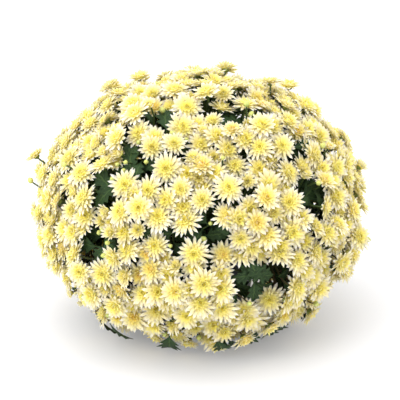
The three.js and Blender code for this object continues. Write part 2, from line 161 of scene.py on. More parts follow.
# How far a trunk leans out at its fork, and how far the ends of trunks and branches run straight
TRUNK_LEAN = 0.45
TRUNK_REACH = 0.36
BRANCH_REACH = 0.4
SEAT_GAP = 0.3 * MM

# The model blooms have this radius, and each copy is sized to its own place
MODEL_RADIUS = 21 * MM
CALYX_DEPTH = 6 * MM
# Petals of neighbouring blooms pass over each other, so a bloom is a little wider than its solid
BLOOM_SPREAD = 1.09

# A row of petals, from the outside of a bloom in: how many, their length and width, how far from
# the middle they root, all in millimetres, how steeply they rise in degrees, how far the tip curls
# up as a share of the length, and how many cuts shape each one
PetalRow = namedtuple("PetalRow", "count length width root rise curl cuts")
BLOOM_ROWS = {
    "open": [
        PetalRow(19, 19.8, 4.7, 2.2, 7, -0.10, 2),
        PetalRow(16, 17.2, 4.8, 2.0, 17, -0.08, 2),
        PetalRow(14, 13.6, 4.6, 1.8, 30, -0.03, 1),
        PetalRow(11, 10.2, 4.1, 1.5, 45, 0.06, 1),
        PetalRow(8, 7.0, 3.2, 1.2, 63, 0.14, 1),
    ],
    "cupped": [
        PetalRow(18, 20.0, 4.9, 2.2, 16, -0.06, 2),
        PetalRow(15, 17.4, 5.0, 2.0, 28, -0.03, 2),
        PetalRow(12, 14.0, 4.8, 1.8, 42, 0.03, 1),
        PetalRow(10, 10.8, 4.2, 1.5, 56, 0.1, 1),
        PetalRow(7, 7.4, 3.3, 1.1, 70, 0.16, 1),
    ],
    "small": [
        PetalRow(15, 20.0, 5.9, 2.4, 15, -0.05, 2),
        PetalRow(12, 16.8, 5.9, 2.1, 30, 0.0, 1),
        PetalRow(9, 13.0, 5.4, 1.7, 47, 0.08, 1),
        PetalRow(6, 9.2, 4.2, 1.2, 66, 0.16, 1),
    ],
    "half": [
        PetalRow(14, 21.5, 6.0, 2.4, 36, 0.0, 2),
        PetalRow(11, 18.6, 5.8, 2.1, 52, 0.06, 1),
        PetalRow(9, 14.8, 5.2, 1.7, 66, 0.14, 1),
        PetalRow(6, 11.0, 4.4, 1.2, 77, 0.2, 1),
    ],
    "shut": [
        PetalRow(9, 21.0, 9.4, 5.4, 66, 0.16, 2),
        PetalRow(7, 19.0, 8.6, 3.6, 76, 0.14, 1),
        PetalRow(4, 17.0, 7.0, 1.8, 82, 0.1, 1),
    ],
}
MODELS_OF_EACH = {"open": 5, "cupped": 3, "small": 3, "half": 3, "shut": 2}


class Draws:
    """A plain seeded generator of numbers from 0 to 1, so that every run is the same."""

    def __init__(self, seed):
        self.seed = seed

    def share(self):
        self.seed = (self.seed * 1664525 + 1013904223) % 4294967296
        return self.seed / 4294967296

    def between(self, low, high):
        return low + (high - low) * self.share()

    def turn(self):
        return self.between(0, math.tau)

    def vector(self, size):
        return Vector([self.between(-size, size) for _ in range(3)])


def linear(code):
    """A colour written as sRGB hex, as the linear values that Blender works with."""
    channels = [int(code[i : i + 2], 16) / 255 for i in (1, 3, 5)]
    return tuple(c / 12.92 if c <= 0.04045 else ((c + 0.055) / 1.055) ** 2.4 for c in channels)


def colour(name, text, code):
    """A colour that the user can change."""
    return FloatVectorProperty(
        name=name, description=text, subtype="COLOR", size=3, min=0, max=1, default=linear(code)
    )


def count(name, text, default):
    """A number of pieces that the user can change."""
    return IntProperty(name=name, description=text, default=default, min=0)


def power(name, text, default):
    """The power of a light that the user can change."""
    return FloatProperty(name=name, description=text, unit="POWER", default=default)


class BloomSettings(bpy.types.PropertyGroup):
    small_blooms: count("Small blooms", "Part-open blooms between the large ones", 380)
    buds: count("Buds", "Closed buds between the blooms", 70)
    tip: colour("Petal tips", "Outer ends of the outer petals", "#f3e7c6")
    petal: colour("Petals", "Outer petals", "#f2e0a6")
    inner: colour("Inner petals", "Petals round the heart", "#efdc78")
    heart: colour("Heart", "Youngest petals in the middle", "#ebd95a")
    eye: colour("Eye", "Folded petals at the very centre", "#b09e30")
    warm: colour("Warm heart", "Heart of the blooms that have turned a little orange", "#ecbc5c")
    under: colour("Underside", "Backs of the petals", "#ddd6a2")
    bud: colour("Buds", "Tips of the closed buds", "#c9cf74")


class FoliageSettings(bpy.types.PropertyGroup):
    leaf: colour("Leaf", "Upper side of the leaves", "#273c20")
    vein: colour("Veins", "Veins of the leaves", "#3f552c")
    stem: colour("Stems", "Stalks, branches and stems", "#4a5c2c")
    bark: colour("Old stems", "Woody foot of the stems", "#4b3a26")
    calyx: colour("Calyx", "Green cup under each bloom", "#6d7a38")
    branch_leaves: count("Leaves on a branch", "Besides the two at its end", 3)


class PotSettings(bpy.types.PropertyGroup):
    wall: FloatProperty(
        name="Wall", description="Thickness of the pot's wall", subtype="DISTANCE", default=1.8 * MM
    )
    plastic: colour("Plastic", "Moulded plastic of the pot", "#2a2b2b")
    peat: colour("Peat", "Damp peat in the pot", "#3a2b20")
    perlite: colour("Perlite", "White grains in the peat", "#cfc9bd")


class StageSettings(bpy.types.PropertyGroup):
    floor: colour("Floor", "Plain pale floor", "#c6c6c8")
    key: power("Key light", "Power of the soft light", 44)
    fill: power("Fill light", "Power of the light at the front", 34)
    sky: FloatProperty(name="Sky", description="Strength of the white surroundings", default=1.55)


def deselect_all():
    bpy.ops.object.select_all(action="DESELECT")


def activate(piece):
    """Selects one piece and nothing else."""
    deselect_all()
    piece.select_set(True)
    bpy.context.view_layer.objects.active = piece


def edit(piece, action="DESELECT"):
    """Opens a piece in edit mode with nothing selected, or with all of it."""
    activate(piece)
    bpy.ops.object.mode_set(mode="EDIT")
    bpy.ops.mesh.select_mode(type="VERT")
    bpy.ops.mesh.select_all(action=action)


def leave_edit():
    bpy.ops.object.mode_set(mode="OBJECT")


def pick(piece, test):
    """In edit mode, selects the vertices whose place passes a test, and nothing else."""
    bpy.ops.mesh.select_all(action="DESELECT")
    mesh = bmesh.from_edit_mesh(piece.data)
    for vertex in mesh.verts:
        if test(vertex.co):
            vertex.select_set(True)
    mesh.select_flush_mode()
    bmesh.update_edit_mesh(piece.data)


def move(x, y, z):
    """In edit mode, moves what is selected."""
    bpy.ops.transform.translate(value=(x, y, z))


def stretch(x, y, z, centre=(0, 0, 0)):
    """In edit mode, stretches what is selected from a centre."""
    bpy.ops.transform.resize(value=(x, y, z), center_override=centre)


def remove(piece):
    mesh = piece.data
    bpy.data.objects.remove(piece)
    bpy.data.meshes.remove(mesh)


def place_copy(model, matrix):
    """A copy of a model piece with a mesh of its own, which holds its place."""
    copy = bpy.data.objects.new(model.name, model.data.copy())
    copy.data.transform(matrix)
    bpy.context.scene.collection.objects.link(copy)
    return copy


def join(pieces, name):
    activate(pieces[0])
    for piece in pieces:
        piece.select_set(True)
    bpy.ops.object.join()
    joined = bpy.context.view_layer.objects.active
    joined.name = name
    joined.data.name = name
    return joined


def smooth(piece, degrees):
    activate(piece)
    bpy.ops.object.shade_smooth_by_angle(angle=math.radians(degrees))


def apply_modifier(piece, kind, **settings):
    """Adds a modifier with its settings and applies it."""
    modifier = piece.modifiers.new(kind, kind)
    for name, value in settings.items():
        setattr(modifier, name, value)
    activate(piece)
    bpy.ops.object.modifier_apply(modifier=modifier.name)


def finish_piece(piece, slot, *nodes):
    """Hands a finished piece to the frame."""
    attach(piece, "root")
    if nodes:
        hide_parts(*nodes)


def square_to(direction, hint):
    """The direction square to one that is nearest to another."""
    return (hint - direction * hint.dot(direction)).normalized()


def across(direction, turn):
    """A direction square to another, turned round it."""
    side = square_to(direction, ASLANT if abs(direction.z) > 0.9 else UP)
    return side * math.cos(turn) + direction.cross(side) * math.sin(turn)


def place_matrix(x, z, place, scale):
    """The matrix that turns a piece's +X and +Z to two directions, sizes it and moves it."""
    turn = Matrix((x, z.cross(x), z)).transposed().to_4x4()
    return Matrix.Translation(place) @ turn @ Matrix.Scale(scale, 4)


def bloom_matrix(bloom, hint, scale):
    face = bloom.face.normalized()
    return place_matrix(square_to(face, hint), face, bloom.middle, scale)


def leaf_matrix(base, along, sky, scale):
    """A leaf along a direction with its upper side to the sky."""
    x = along.normalized()
    return place_matrix(x, square_to(x, sky), base, scale)


# Placing: the same rule and draws as in the part's source


def onto_ball(point):
    """The point of the ball's surface in the direction of a point, no lower than the skirt."""
    unit = Vector(
        (point.x / BALL_RADIUS, point.y / BALL_RADIUS, (point.z - BALL_CENTRE_Z) / BALL_HALF_HEIGHT)
    ).normalized()
    if unit.z < SKIRT_LEVEL:
        flat = math.hypot(unit.x, unit.y)
        wide = math.sqrt(1 - SKIRT_LEVEL * SKIRT_LEVEL)
        unit = Vector((unit.x / flat * wide, unit.y / flat * wide, SKIRT_LEVEL))
    return Vector(
        (unit.x * BALL_RADIUS, unit.y * BALL_RADIUS, BALL_CENTRE_Z + unit.z * BALL_HALF_HEIGHT)
    )


def ball_normal(point):
    flat = BALL_RADIUS**2
    high = BALL_HALF_HEIGHT**2
    return Vector((point.x / flat, point.y / flat, (point.z - BALL_CENTRE_Z) / high)).normalized()


def ball_point(degrees, z):
    """The point of the ball at an angle right of the front, in degrees, and a height."""
    share = (z - BALL_CENTRE_Z) / BALL_HALF_HEIGHT
    wide = BALL_RADIUS * math.sqrt(1 - share * share)
    turn = math.radians(degrees)
    return Vector((wide * math.sin(turn), -wide * math.cos(turn), z))


def golden_point(index, total):
    """One of many points that cover the ball evenly."""
    level = 1 - (index + 0.5) / total * (1 - SKIRT_LEVEL)
    wide = BALL_RADIUS * math.sqrt(1 - level * level)
    turn = index * GOLDEN_TURN
    z = BALL_CENTRE_Z + BALL_HALF_HEIGHT * level
    return Vector((wide * math.cos(turn), wide * math.sin(turn), z))


class Bloom:
    """A bloom's place: the point of the ball under it, its middle and the way it faces."""

    def __init__(self, at, radius, model, lift, wobble, spin):
        self.at = at
        self.radius = radius
        self.model = model
        self.lift = lift
        self.wobble = wobble
        self.spin = spin

    def settle(self, wobble_share):
        out = ball_normal(self.at)
        face = (out + UP * TURN_UP * (1 - out.z) ** 2).normalized()
        self.face = (face + self.wobble * wobble_share).normalized()
        self.middle = self.at + out * self.lift
        return self


def large_blooms():
    """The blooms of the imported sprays, spread by the golden angle, shaken and pushed apart."""
    draws = Draws(BLOOM_SEED)
    blooms = []
    for i in range(BLOOMS):
        start = golden_point(i, BLOOMS) + draws.vector(JITTER)
        draw = draws.share()
        kind = next(k for k in BLOOM_KINDS if draw < k.share)
        radius = draws.between(kind.least, kind.most)
        lift = draws.between(*LIFTS)
        wobble = draws.vector(1)
        blooms.append(Bloom(onto_ball(start), radius, kind.model, lift, wobble, draws.turn()))
    windows = [(ball_point(degrees, z), size) for degrees, z, size in WINDOWS]
    radii = np.array([bloom.radius for bloom in blooms])
    wanted = CLOSENESS * (radii[:, None] + radii[None, :])
    for _ in range(RELAX_SWEEPS):
        places = np.array([bloom.at for bloom in blooms])
        apart = places[:, None] - places[None, :]
        gap = np.linalg.norm(apart, axis=2)
        np.fill_diagonal(gap, np.inf)
        push = (np.maximum(0, PUSH * (wanted - gap)) / gap)[:, :, None] * apart
        pushes = push.sum(axis=1)
        for bloom, push in zip(blooms, pushes):
            push = Vector(push)
            for window, size in windows:
                apart = bloom.at - window
                short = size + WINDOW_CLEAR * bloom.radius - apart.length
                if short > 0:
                    push += apart * (WINDOW_PUSH * short / apart.length)
            bloom.at = onto_ball(bloom.at + push)
    return [bloom.settle(WOBBLE) for bloom in blooms]


# Small blooms and buds go into the widest gaps among many points of the ball
SPOTS = 5200
SMALL_SEED = 411
SMALL_LEAST = 9 * MM
SMALL_MOST = 19.5 * MM
# A small bloom's radius as a multiple of the room that the others leave, and how much of a large
# and of a small bloom's radius counts as taken
SMALL_ROOM = 4.6
LARGE_TAKES = 0.8
SMALL_TAKES = 0.85
SMALL_SPREAD = (0.85, 1.15)
SMALL_LIFTS = (-9 * MM, 14 * MM)
SMALL_WOBBLE = 0.42
# Which model stands for a small bloom of each least radius
SMALL_MODELS = [(11.5 * MM, "small"), (10 * MM, "half"), (0, "shut")]
# How much of a window's size the small blooms leave clear
WINDOW_KEPT = 1.05
# How far the distance to a window counts as room, beside the room between blooms
WINDOW_ROOM = 0.5
BUD_RADIUS = 4.2 * MM
BUD_SPREAD = (0.75, 1.15)
BUD_ROOM = (1.0 * MM, 7 * MM)
BUD_LIFTS = (-5 * MM, 18 * MM)


def small_blooms(blooms, small_count, bud_count):
    """Part-open blooms and buds that fill the gaps between the large blooms."""
    draws = Draws(SMALL_SEED)
    spots = np.array([golden_point(i, SPOTS) for i in range(SPOTS)])
    made = []

    def away(point):
        return np.linalg.norm(spots - np.array(point), axis=1)

    room = np.full(SPOTS, np.inf)
    for bloom in blooms:
        np.minimum(room, away(bloom.at) - LARGE_TAKES * bloom.radius, out=room)
    edge = np.full(SPOTS, np.inf)
    for degrees, z, size in WINDOWS:
        np.minimum(edge, away(ball_point(degrees, z)) - WINDOW_KEPT * size, out=edge)

    def add(index, radius, model, lifts):
        # Most sit low between their neighbours, and a few stand out
        lift = lifts[0] + (lifts[1] - lifts[0]) * draws.share() ** 3
        bloom = Bloom(Vector(spots[index]), radius, model, lift, draws.vector(1), draws.turn())
        made.append(bloom.settle(SMALL_WOBBLE))
        np.minimum(room, away(spots[index]) - SMALL_TAKES * radius, out=room)

    for _ in range(small_count):
        index = int(np.argmax(np.minimum(room, WINDOW_ROOM * (edge - SMALL_LEAST))))
        radius = room[index] * SMALL_ROOM * draws.between(*SMALL_SPREAD)
        radius = max(min(radius, SMALL_MOST, edge[index]), SMALL_LEAST)
        model = next(name for least, name in SMALL_MODELS if radius >= least)
        add(index, radius, model, SMALL_LIFTS)
    for _ in range(bud_count):
        free = np.flatnonzero((room > BUD_ROOM[0]) & (room < BUD_ROOM[1]))
        index = int(free[int(draws.share() * len(free))])
        add(index, BUD_RADIUS * draws.between(*BUD_SPREAD), "bud", BUD_LIFTS)
    return made


# Blooms and buds that stand out from the ball: degrees right of the front, and in millimetres the
# height, how far out and the radius, and the model
OUTLIERS = [
    (-88, 258, 19, 17, "cupped"),
    (-84, 230, 21, 4.6, "bud"),
    (-83, 112, 12, 17, "cupped"),
    (-79, 70, 15, 10, "half"),
    (-70, 62, 12, 8.5, "shut"),
    (61, 305, 14, 4.6, "bud"),
    (66, 300, 12, 10, "half"),
    (88, 190, 12, 18, "cupped"),
    (84, 125, 12, 15, "small"),
    (80, 96, 12, 9, "shut"),
    (96, 366, 13, 19, "open"),
    (70, 352, 13, 18, "cupped"),
    (-102, 352, 10, 17, "cupped"),
    (150, 300, 15, 12, "small"),
    (171, 130, 14, 4.4, "bud"),
    (214, 180, 14, 16, "cupped"),
    (236, 120, 13, 11, "half"),
    (128, 215, 14, 4.4, "bud"),
]


def outliers():
    """The blooms and buds that stand out, turned a little to the light."""
    draws = Draws(SMALL_SEED + 1)
    made = []
    for degrees, z, lift, radius, model in OUTLIERS:
        at = ball_point(degrees, z * MM)
        wobble = draws.vector(1) + UP
        bloom = Bloom(at, radius * MM, model, lift * MM, wobble, draws.between(0, 6))
        made.append(bloom.settle(SMALL_WOBBLE))
    return made


class Spray:
    """A spray's place: the point of the ball over it, its blooms, its knot and the knot's seat."""

    def __init__(self, at, shoot, ring):
        self.at = at
        self.shoot = shoot
        self.ring = ring
        self.blooms = []
        self.window_leaves = []

    def settle(self):
        """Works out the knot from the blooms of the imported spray."""
        middle = sum((bloom.at for bloom in self.blooms), Vector()) / len(self.blooms)
        outwards = sum((bloom.face for bloom in self.blooms), ball_normal(self.at))
        inwards = -outwards.normalized()
        self.knot = middle + inwards * self.ring.depth
        self.seat = self.knot + (inwards + UP * self.ring.hang).normalized() * KNOT_RADIUS


def spray_places():
    sprays = []
    for level, ring in enumerate(SPRAY_RINGS):
        for k in range(ring.count):
            at = ball_point(360 * (k + ring.turn) / ring.count, ring.z)
            shoot = k
            if ring.count < OUTER_SHOOTS:
                shoot = OUTER_SHOOTS + (0 if level == 0 or k < 2 else 1)
            sprays.append(Spray(at, shoot, ring))
    return sprays


def nearest_spray(point, sprays):
    return min(sprays, key=lambda spray: (spray.at - point).length)


# The petals of a bloom lean further this way or that than its solid shows, and to the light
TILT_SEED = 63
TILT = 0.42
TILT_UP = 0.32
TILT_OUT = 0.5
RISE = 5 * MM
# The lower edge of the ball is ragged: below a level its blooms sit up to so much higher than
# their solids
RAGGED_LEVEL = -0.3
SKIRT_RAGGED = 26 * MM
# Each spray stands up in a low mound of its own, half above the ball and half below it
MOUND = 15 * MM
MOUND_RADIUS = 75 * MM
MOUND_LEVEL = 0.5
# The blooms round a window lean back from it: how wide it gets, how far they move for one that is
# larger than the least size, and how far they turn
WINDOW_WIDE = 1.35
WINDOW_EDGE = 0.95
WINDOW_MOVE = 0.8
WINDOW_LEAST = 8 * MM
WINDOW_TURN = 0.3
PLANT = {}


def widen_windows(blooms):
    for degrees, z, size in WINDOWS:
        window = ball_point(degrees, z)
        for bloom in blooms:
            apart = bloom.at - window
            short = WINDOW_WIDE * size + WINDOW_EDGE * bloom.radius - apart.length
            if short > 0:
                back = min(short, WINDOW_MOVE * (size - WINDOW_LEAST))
                bloom.middle += back * apart.normalized()
                bloom.face = (bloom.face + WINDOW_TURN * apart.normalized()).normalized()


def plan_plant():
    """Works out once where everything in the plant is."""
    if PLANT:
        return PLANT
    settings = bpy.context.scene.mum_blooms
    large = large_blooms()
    sprays = spray_places()
    for bloom in large:
        nearest_spray(bloom.at, sprays).blooms.append(bloom)
    for spray in sprays:
        spray.settle()
    draws = Draws(TILT_SEED)
    for bloom in large:
        tilt = draws.vector(TILT)
        out = ball_normal(bloom.at)
        lean = UP * TILT_UP * (1 - out.z) + Vector((out.x, out.y, 0)) * TILT_OUT * max(out.z, 0)
        bloom.face = (bloom.face + tilt + lean).normalized()
        bloom.middle += bloom.face * draws.between(-RISE, RISE)
        bloom.middle += UP * draws.between(0, SKIRT_RAGGED) * max(0, RAGGED_LEVEL - out.z)
    widen_windows(large)
    for bloom in small_blooms(large, settings.small_blooms, settings.buds) + outliers():
        nearest_spray(bloom.at, sprays).blooms.append(bloom)
    plan_window_leaves(sprays)
    for spray in sprays:
        for bloom in spray.blooms:
            off = (bloom.at - spray.at).length / MOUND_RADIUS
            bloom.middle += ball_normal(bloom.at) * MOUND * (MOUND_LEVEL - min(off, 1) ** 2)
    PLANT.update(sprays=sprays, shoots=shoot_places(sprays))
    return PLANT


class Path:
    """A cubic curve from its four control points, with places along it by distance."""

    STEPS = 60

    def __init__(self, start, leave, arrive, end):
        self.controls = (start, leave, arrive, end)
        self.samples = [self.point(i / self.STEPS) for i in range(self.STEPS + 1)]
        steps = [(b - a).length for a, b in zip(self.samples, self.samples[1:])]
        self.distances = [sum(steps[:i]) for i in range(self.STEPS + 1)]
        self.length = self.distances[-1]

    def point(self, t):
        a, b, c, d = self.controls
        s = 1 - t
        return a * s**3 + b * (3 * s * s * t) + c * (3 * s * t * t) + d * t**3

    def at(self, distance):
        """The parameter at a distance from the start."""
        return float(np.interp(distance, self.distances, np.linspace(0, 1, self.STEPS + 1)))

    def place(self, distance):
        return self.point(self.at(distance))

    def heading(self, distance):
        t = min(max(self.at(distance), 0.001), 0.999)
        return (self.point(t + 0.001) - self.point(t - 0.001)).normalized()


def shoot_places(sprays):
    """Each shoot's trunk and fork, and the path of the branch to each of its sprays."""
    shoots = []
    for k in range(OUTER_SHOOTS + INNER_SHOOTS):
        own = [spray for spray in sprays if spray.shoot == k]
        plan = OUTER_SHOOT if k < OUTER_SHOOTS else INNER_SHOOT
        heading = sum((spray.knot for spray in own), Vector())
        heading.z = 0
        heading.normalize()
        root = heading * plan.root + UP * (SOIL_TOP - ROOTING_DEPTH)
        fork = heading * plan.fork + UP * plan.fork_z
        arrive = (heading * TRUNK_LEAN + UP).normalized()
        end = fork - arrive * math.sqrt(FORK_RADIUS**2 - TRUNK_RADIUS**2)
        reach = TRUNK_REACH * (end - root).length
        trunk = Path(root, root + UP * reach, end - arrive * reach, end)
        branches = []
        for spray in own:
            climb = math.radians(spray.ring.climb)
            leave = spray.knot - fork
            leave.z = 0
            leave = leave.normalized() * math.cos(climb) + UP * math.sin(climb)
            arrival = (spray.knot - spray.seat).normalized()
            start = fork + leave * math.sqrt(FORK_RADIUS**2 - BRANCH_RADIUS**2)
            stop = spray.seat - arrival * SEAT_GAP
            reach = BRANCH_REACH * (stop - start).length
            path = Path(start, start + leave * reach, stop - arrival * reach, stop)
            branches.append((spray, path))
        shoots.append((fork, trunk, branches))
    return shoots


# Materials


def feed(node, inputs):
    """Gives a node its inputs, by name or in their order: values, or the sockets that feed them."""
    for name, value in inputs.items() if isinstance(inputs, dict) else enumerate(inputs):
        if isinstance(value, bpy.types.NodeSocket):
            node.id_data.links.new(value, node.inputs[name])
        else:
            node.inputs[name].default_value = value


def add_node(tree, kind, inputs=(), output=0, stops=(), **settings):
    """Adds a shader node with its settings, and gives one of its outputs. A MapRange node's inputs
    are the value, the range that it comes from and the range that it goes to."""
    node = tree.nodes.new("ShaderNode" + kind)
    for name, value in settings.items():
        setattr(node, name, value)
    feed(node, inputs)
    if stops:
        elements = node.color_ramp.elements
        while len(elements) < len(stops):
            elements.new(1)
        for element, (position, value) in zip(elements, stops):
            element.position = position
            element.color = (*value, 1)
    return node.outputs[output]


def new_material(name):
    """A material with its shader, ready for its nodes."""
    material = bpy.data.materials.new(name)
    material.use_nodes = True
    return material, material.node_tree, material.node_tree.nodes["Principled BSDF"]


def times(value, factor):
    """A colour made darker or lighter."""
    return [factor * c for c in value]


def petal_material(settings):
    """Living petal tissue: matt and velvety, cream outside and yellow at the heart. It glows a
    little where light comes through from behind."""
    material, tree, shader = new_material("Petal tissue, cream")
    heart = add_node(tree, "Attribute", output="Fac", attribute_name="heart")
    tint = add_node(tree, "Attribute", output="Fac", attribute_name="tint")
    flat = add_node(tree, "UVMap", uv_map="blade")
    across, along, _ = add_node(tree, "SeparateXYZ", (flat,)).node.outputs
    stops = [
        (0.0, settings.eye),
        (0.06, settings.eye),
        (0.13, settings.heart),
        (0.4, settings.inner),
        (0.68, settings.petal),
        (0.95, settings.tip),
    ]
    base = add_node(tree, "ValToRGB", (heart,), stops=stops)
    # Some hearts have turned a little orange with age
    old = add_node(tree, "MapRange", (tint, 0.84, 1, 0, 0.6))
    near = add_node(tree, "MapRange", (heart, 0.15, 0.6, 1, 0))
    warm = add_node(tree, "Math", (old, near), operation="MULTIPLY")
    mix = {"Factor": warm, "A": base, "B": (*settings.warm, 1)}
    aged = add_node(tree, "Mix", mix, output=2, data_type="RGBA")
    # The backs of the petals are duller and greener towards their foot
    back = add_node(tree, "Math", (across, 1.001), operation="GREATER_THAN")
    foot = add_node(tree, "MapRange", (along, 0, 0.9, 0.95, 0.3))
    dull = add_node(tree, "Math", (back, foot), operation="MULTIPLY")
    mix = {"Factor": dull, "A": aged, "B": (*settings.under, 1)}
    sided = add_node(tree, "Mix", mix, output=2, data_type="RGBA")
    # Fine veins run along a petal about 0.4 mm apart, drawn at 0.9 mm so that they show
    spread = add_node(tree, "CombineXYZ", (across, along, tint))
    spread = add_node(tree, "VectorMath", (spread, (5.5, 0.7, 40)), operation="MULTIPLY")
    veins = add_node(tree, "TexNoise", {"Vector": spread, "Scale": 1, "Detail": 1})
    shade = add_node(tree, "MapRange", (veins, 0.3, 0.7, 0.9, 1.04))
    # No two blooms are quite alike in brightness
    mixed = add_node(tree, "Math", (tint, 7.31), operation="MULTIPLY")
    part = add_node(tree, "Math", (mixed,), operation="FRACT")
    level = add_node(tree, "MapRange", (part, 0, 1, 0.93, 1.03))
    both = add_node(tree, "Math", (shade, level), operation="MULTIPLY")
    values = {
        "Base Color": add_node(tree, "HueSaturation", {"Color": sided, "Value": both}),
        "Normal": add_node(tree, "Bump", {"Height": veins, "Strength": 0.35, "Distance": 0.3 * MM}),
        "Roughness": 0.62,
        "IOR": 1.4,
        "Subsurface Weight": 0.75,
        "Subsurface Radius": (1.0, 0.85, 0.45),
        "Subsurface Scale": 2.6 * MM,
        "Sheen Weight": 0.12,
        "Sheen Roughness": 0.5,
    }
    feed(shader, values)
    return material


def bud_material(settings):
    """A closed bud's outer petals: waxy, pale yellow-green, mottled a little darker here and there.
    """
    material, tree, shader = new_material("Bud petals, waxy green")
    place = add_node(tree, "TexCoord", output="Object")
    mottle = add_node(tree, "TexNoise", {"Vector": place, "Scale": 900, "Detail": 2})
    stops = [(0.35, times(settings.bud, 0.72)), (0.65, settings.bud)]
    values = {
        "Base Color": add_node(tree, "ValToRGB", (mottle,), stops=stops),
        "Normal": add_node(tree, "Bump", {"Height": mottle, "Strength": 0.3, "Distance": 0.3 * MM}),
        "Roughness": 0.5,
        "IOR": 1.4,
        "Subsurface Weight": 0.15,
        "Subsurface Scale": 1.5 * MM,
    }
    feed(shader, values)
    return material


def leaf_material(settings):
    """A mum leaf: leathery and dark, with a pale midrib and side veins and a fine matt down."""
    material, tree, shader = new_material("Leaf blade, downy green")
    flat = add_node(tree, "UVMap", uv_map="blade")
    place = add_node(tree, "TexCoord", output="Object")
    across, along, _ = add_node(tree, "SeparateXYZ", (flat,)).node.outputs
    fold = add_node(tree, "Math", (across, 1), operation="PINGPONG")
    side = add_node(tree, "Math", (fold, 0.5), operation="SUBTRACT")
    off = add_node(tree, "Math", (side,), operation="ABSOLUTE")
    midrib = add_node(tree, "MapRange", (off, 0.01, 0.07, 1, 0))
    # Side veins leave the midrib every 10 mm or so and lean towards the tip
    lean = add_node(tree, "Math", (off, -0.55, along), operation="MULTIPLY_ADD")
    waves = add_node(tree, "Math", (lean, 38), operation="MULTIPLY")
    ridge = add_node(tree, "Math", (waves,), operation="SINE")
    vein = add_node(tree, "MapRange", (ridge, 0.82, 1, 0, 0.6))
    lines = add_node(tree, "Math", (midrib, vein), operation="MAXIMUM")
    mottle = add_node(tree, "TexNoise", {"Vector": place, "Scale": 120, "Detail": 3})
    stops = [(0.3, times(settings.leaf, 0.6)), (0.7, times(settings.leaf, 1.2))]
    green = add_node(tree, "ValToRGB", (mottle,), stops=stops)
    mix = {"Factor": lines, "A": green, "B": (*settings.vein, 1)}
    height = add_node(tree, "Math", (lines, -0.8, mottle), operation="MULTIPLY_ADD")
    values = {
        "Base Color": add_node(tree, "Mix", mix, output=2, data_type="RGBA"),
        "Normal": add_node(tree, "Bump", {"Height": height, "Strength": 0.5, "Distance": 0.8 * MM}),
        "Roughness": 0.65,
        "IOR": 1.42,
        "Specular IOR Level": 0.25,
    }
    feed(shader, values)
    return material


def stem_material(settings):
    """A ridged stem: green and faintly downy above, brown and woody near the soil."""
    material, tree, shader = new_material("Stem bark, ridged green")
    place = add_node(tree, "TexCoord", output="Object")
    long = add_node(tree, "Mapping", {"Vector": place, "Scale": (1, 1, 0.2)})
    grain = add_node(tree, "TexNoise", {"Vector": long, "Scale": 700, "Detail": 2})
    low = add_node(tree, "SeparateXYZ", (place,), output="Z")
    wood = add_node(tree, "MapRange", (low, SOIL_TOP, SOIL_TOP + 60 * MM, 1, 0))
    stops = [(0.3, times(settings.stem, 0.65)), (0.7, settings.stem)]
    green = add_node(tree, "ValToRGB", (grain,), stops=stops)
    mix = {"Factor": wood, "A": green, "B": (*settings.bark, 1)}
    values = {
        "Base Color": add_node(tree, "Mix", mix, output=2, data_type="RGBA"),
        "Normal": add_node(tree, "Bump", {"Height": grain, "Strength": 0.5, "Distance": 0.5 * MM}),
        "Roughness": 0.65,
        "IOR": 1.42,
    }
    feed(shader, values)
    return material


def calyx_material(settings):
    """The cup of small overlapping bracts under a bloom: dull olive green with pale edges."""
    material, tree, shader = new_material("Calyx bracts, olive")
    place = add_node(tree, "TexCoord", output="Object")
    scales = add_node(tree, "TexVoronoi", {"Vector": place, "Scale": 420})
    stops = [(0.15, times(settings.calyx, 0.6)), (0.75, times(settings.calyx, 1.2))]
    values = {
        "Base Color": add_node(tree, "ValToRGB", (scales,), stops=stops),
        "Normal": add_node(tree, "Bump", {"Height": scales, "Strength": 0.5, "Distance": 0.5 * MM}),
        "Roughness": 0.6,
        "IOR": 1.42,
    }
    feed(shader, values)
    return material


def pot_material(settings):
    """Injection-moulded recycled polypropylene: near black, satin, with fine grain and scuffs."""
    material, tree, shader = new_material("Polypropylene, moulded black")
    place = add_node(tree, "TexCoord", output="Object")
    grain = add_node(tree, "TexNoise", {"Vector": place, "Scale": 900, "Detail": 2})
    scuff = add_node(tree, "TexNoise", {"Vector": place, "Scale": 28, "Detail": 5})
    stops = [(0.4, settings.plastic), (0.75, times(settings.plastic, 1.8))]
    values = {
        "Base Color": add_node(tree, "ValToRGB", (scuff,), stops=stops),
        "Roughness": add_node(tree, "MapRange", (scuff, 0.3, 0.7, 0.38, 0.6)),
        "Normal": add_node(tree, "Bump", {"Height": grain, "Strength": 0.12, "Distance": 0.3 * MM}),
        "IOR": 1.49,
    }
    feed(shader, values)
    return material


def peat_material(settings):
    """Damp peat compost: dark crumbs of 1 to 3 mm with painted shade in the gaps, and white perlite
    grains here and there.
    """
    material, tree, shader = new_material("Peat compost with perlite")
    place = add_node(tree, "TexCoord", output="Object")
    crumbs = add_node(tree, "TexVoronoi", {"Vector": place, "Scale": 420})
    grains = add_node(tree, "TexVoronoi", {"Vector": place, "Scale": 150})
    is_grain = add_node(tree, "MapRange", (grains, 0.16, 0.2, 1, 0))
    # Painted shade: each crumb is lighter at its top and darker towards the gaps between the crumbs
    stops = [(0.1, times(settings.peat, 1.5)), (0.6, times(settings.peat, 0.4))]
    brown = add_node(tree, "ValToRGB", (crumbs,), stops=stops)
    mix = {"Factor": is_grain, "A": brown, "B": (*settings.perlite, 1)}
    relief = {"Height": crumbs, "Strength": 0.9, "Distance": 1.5 * MM}
    values = {
        "Base Color": add_node(tree, "Mix", mix, output=2, data_type="RGBA"),
        "Normal": add_node(tree, "Bump", relief, invert=True),
        "Roughness": 0.95,
    }
    feed(shader, values)
    return material


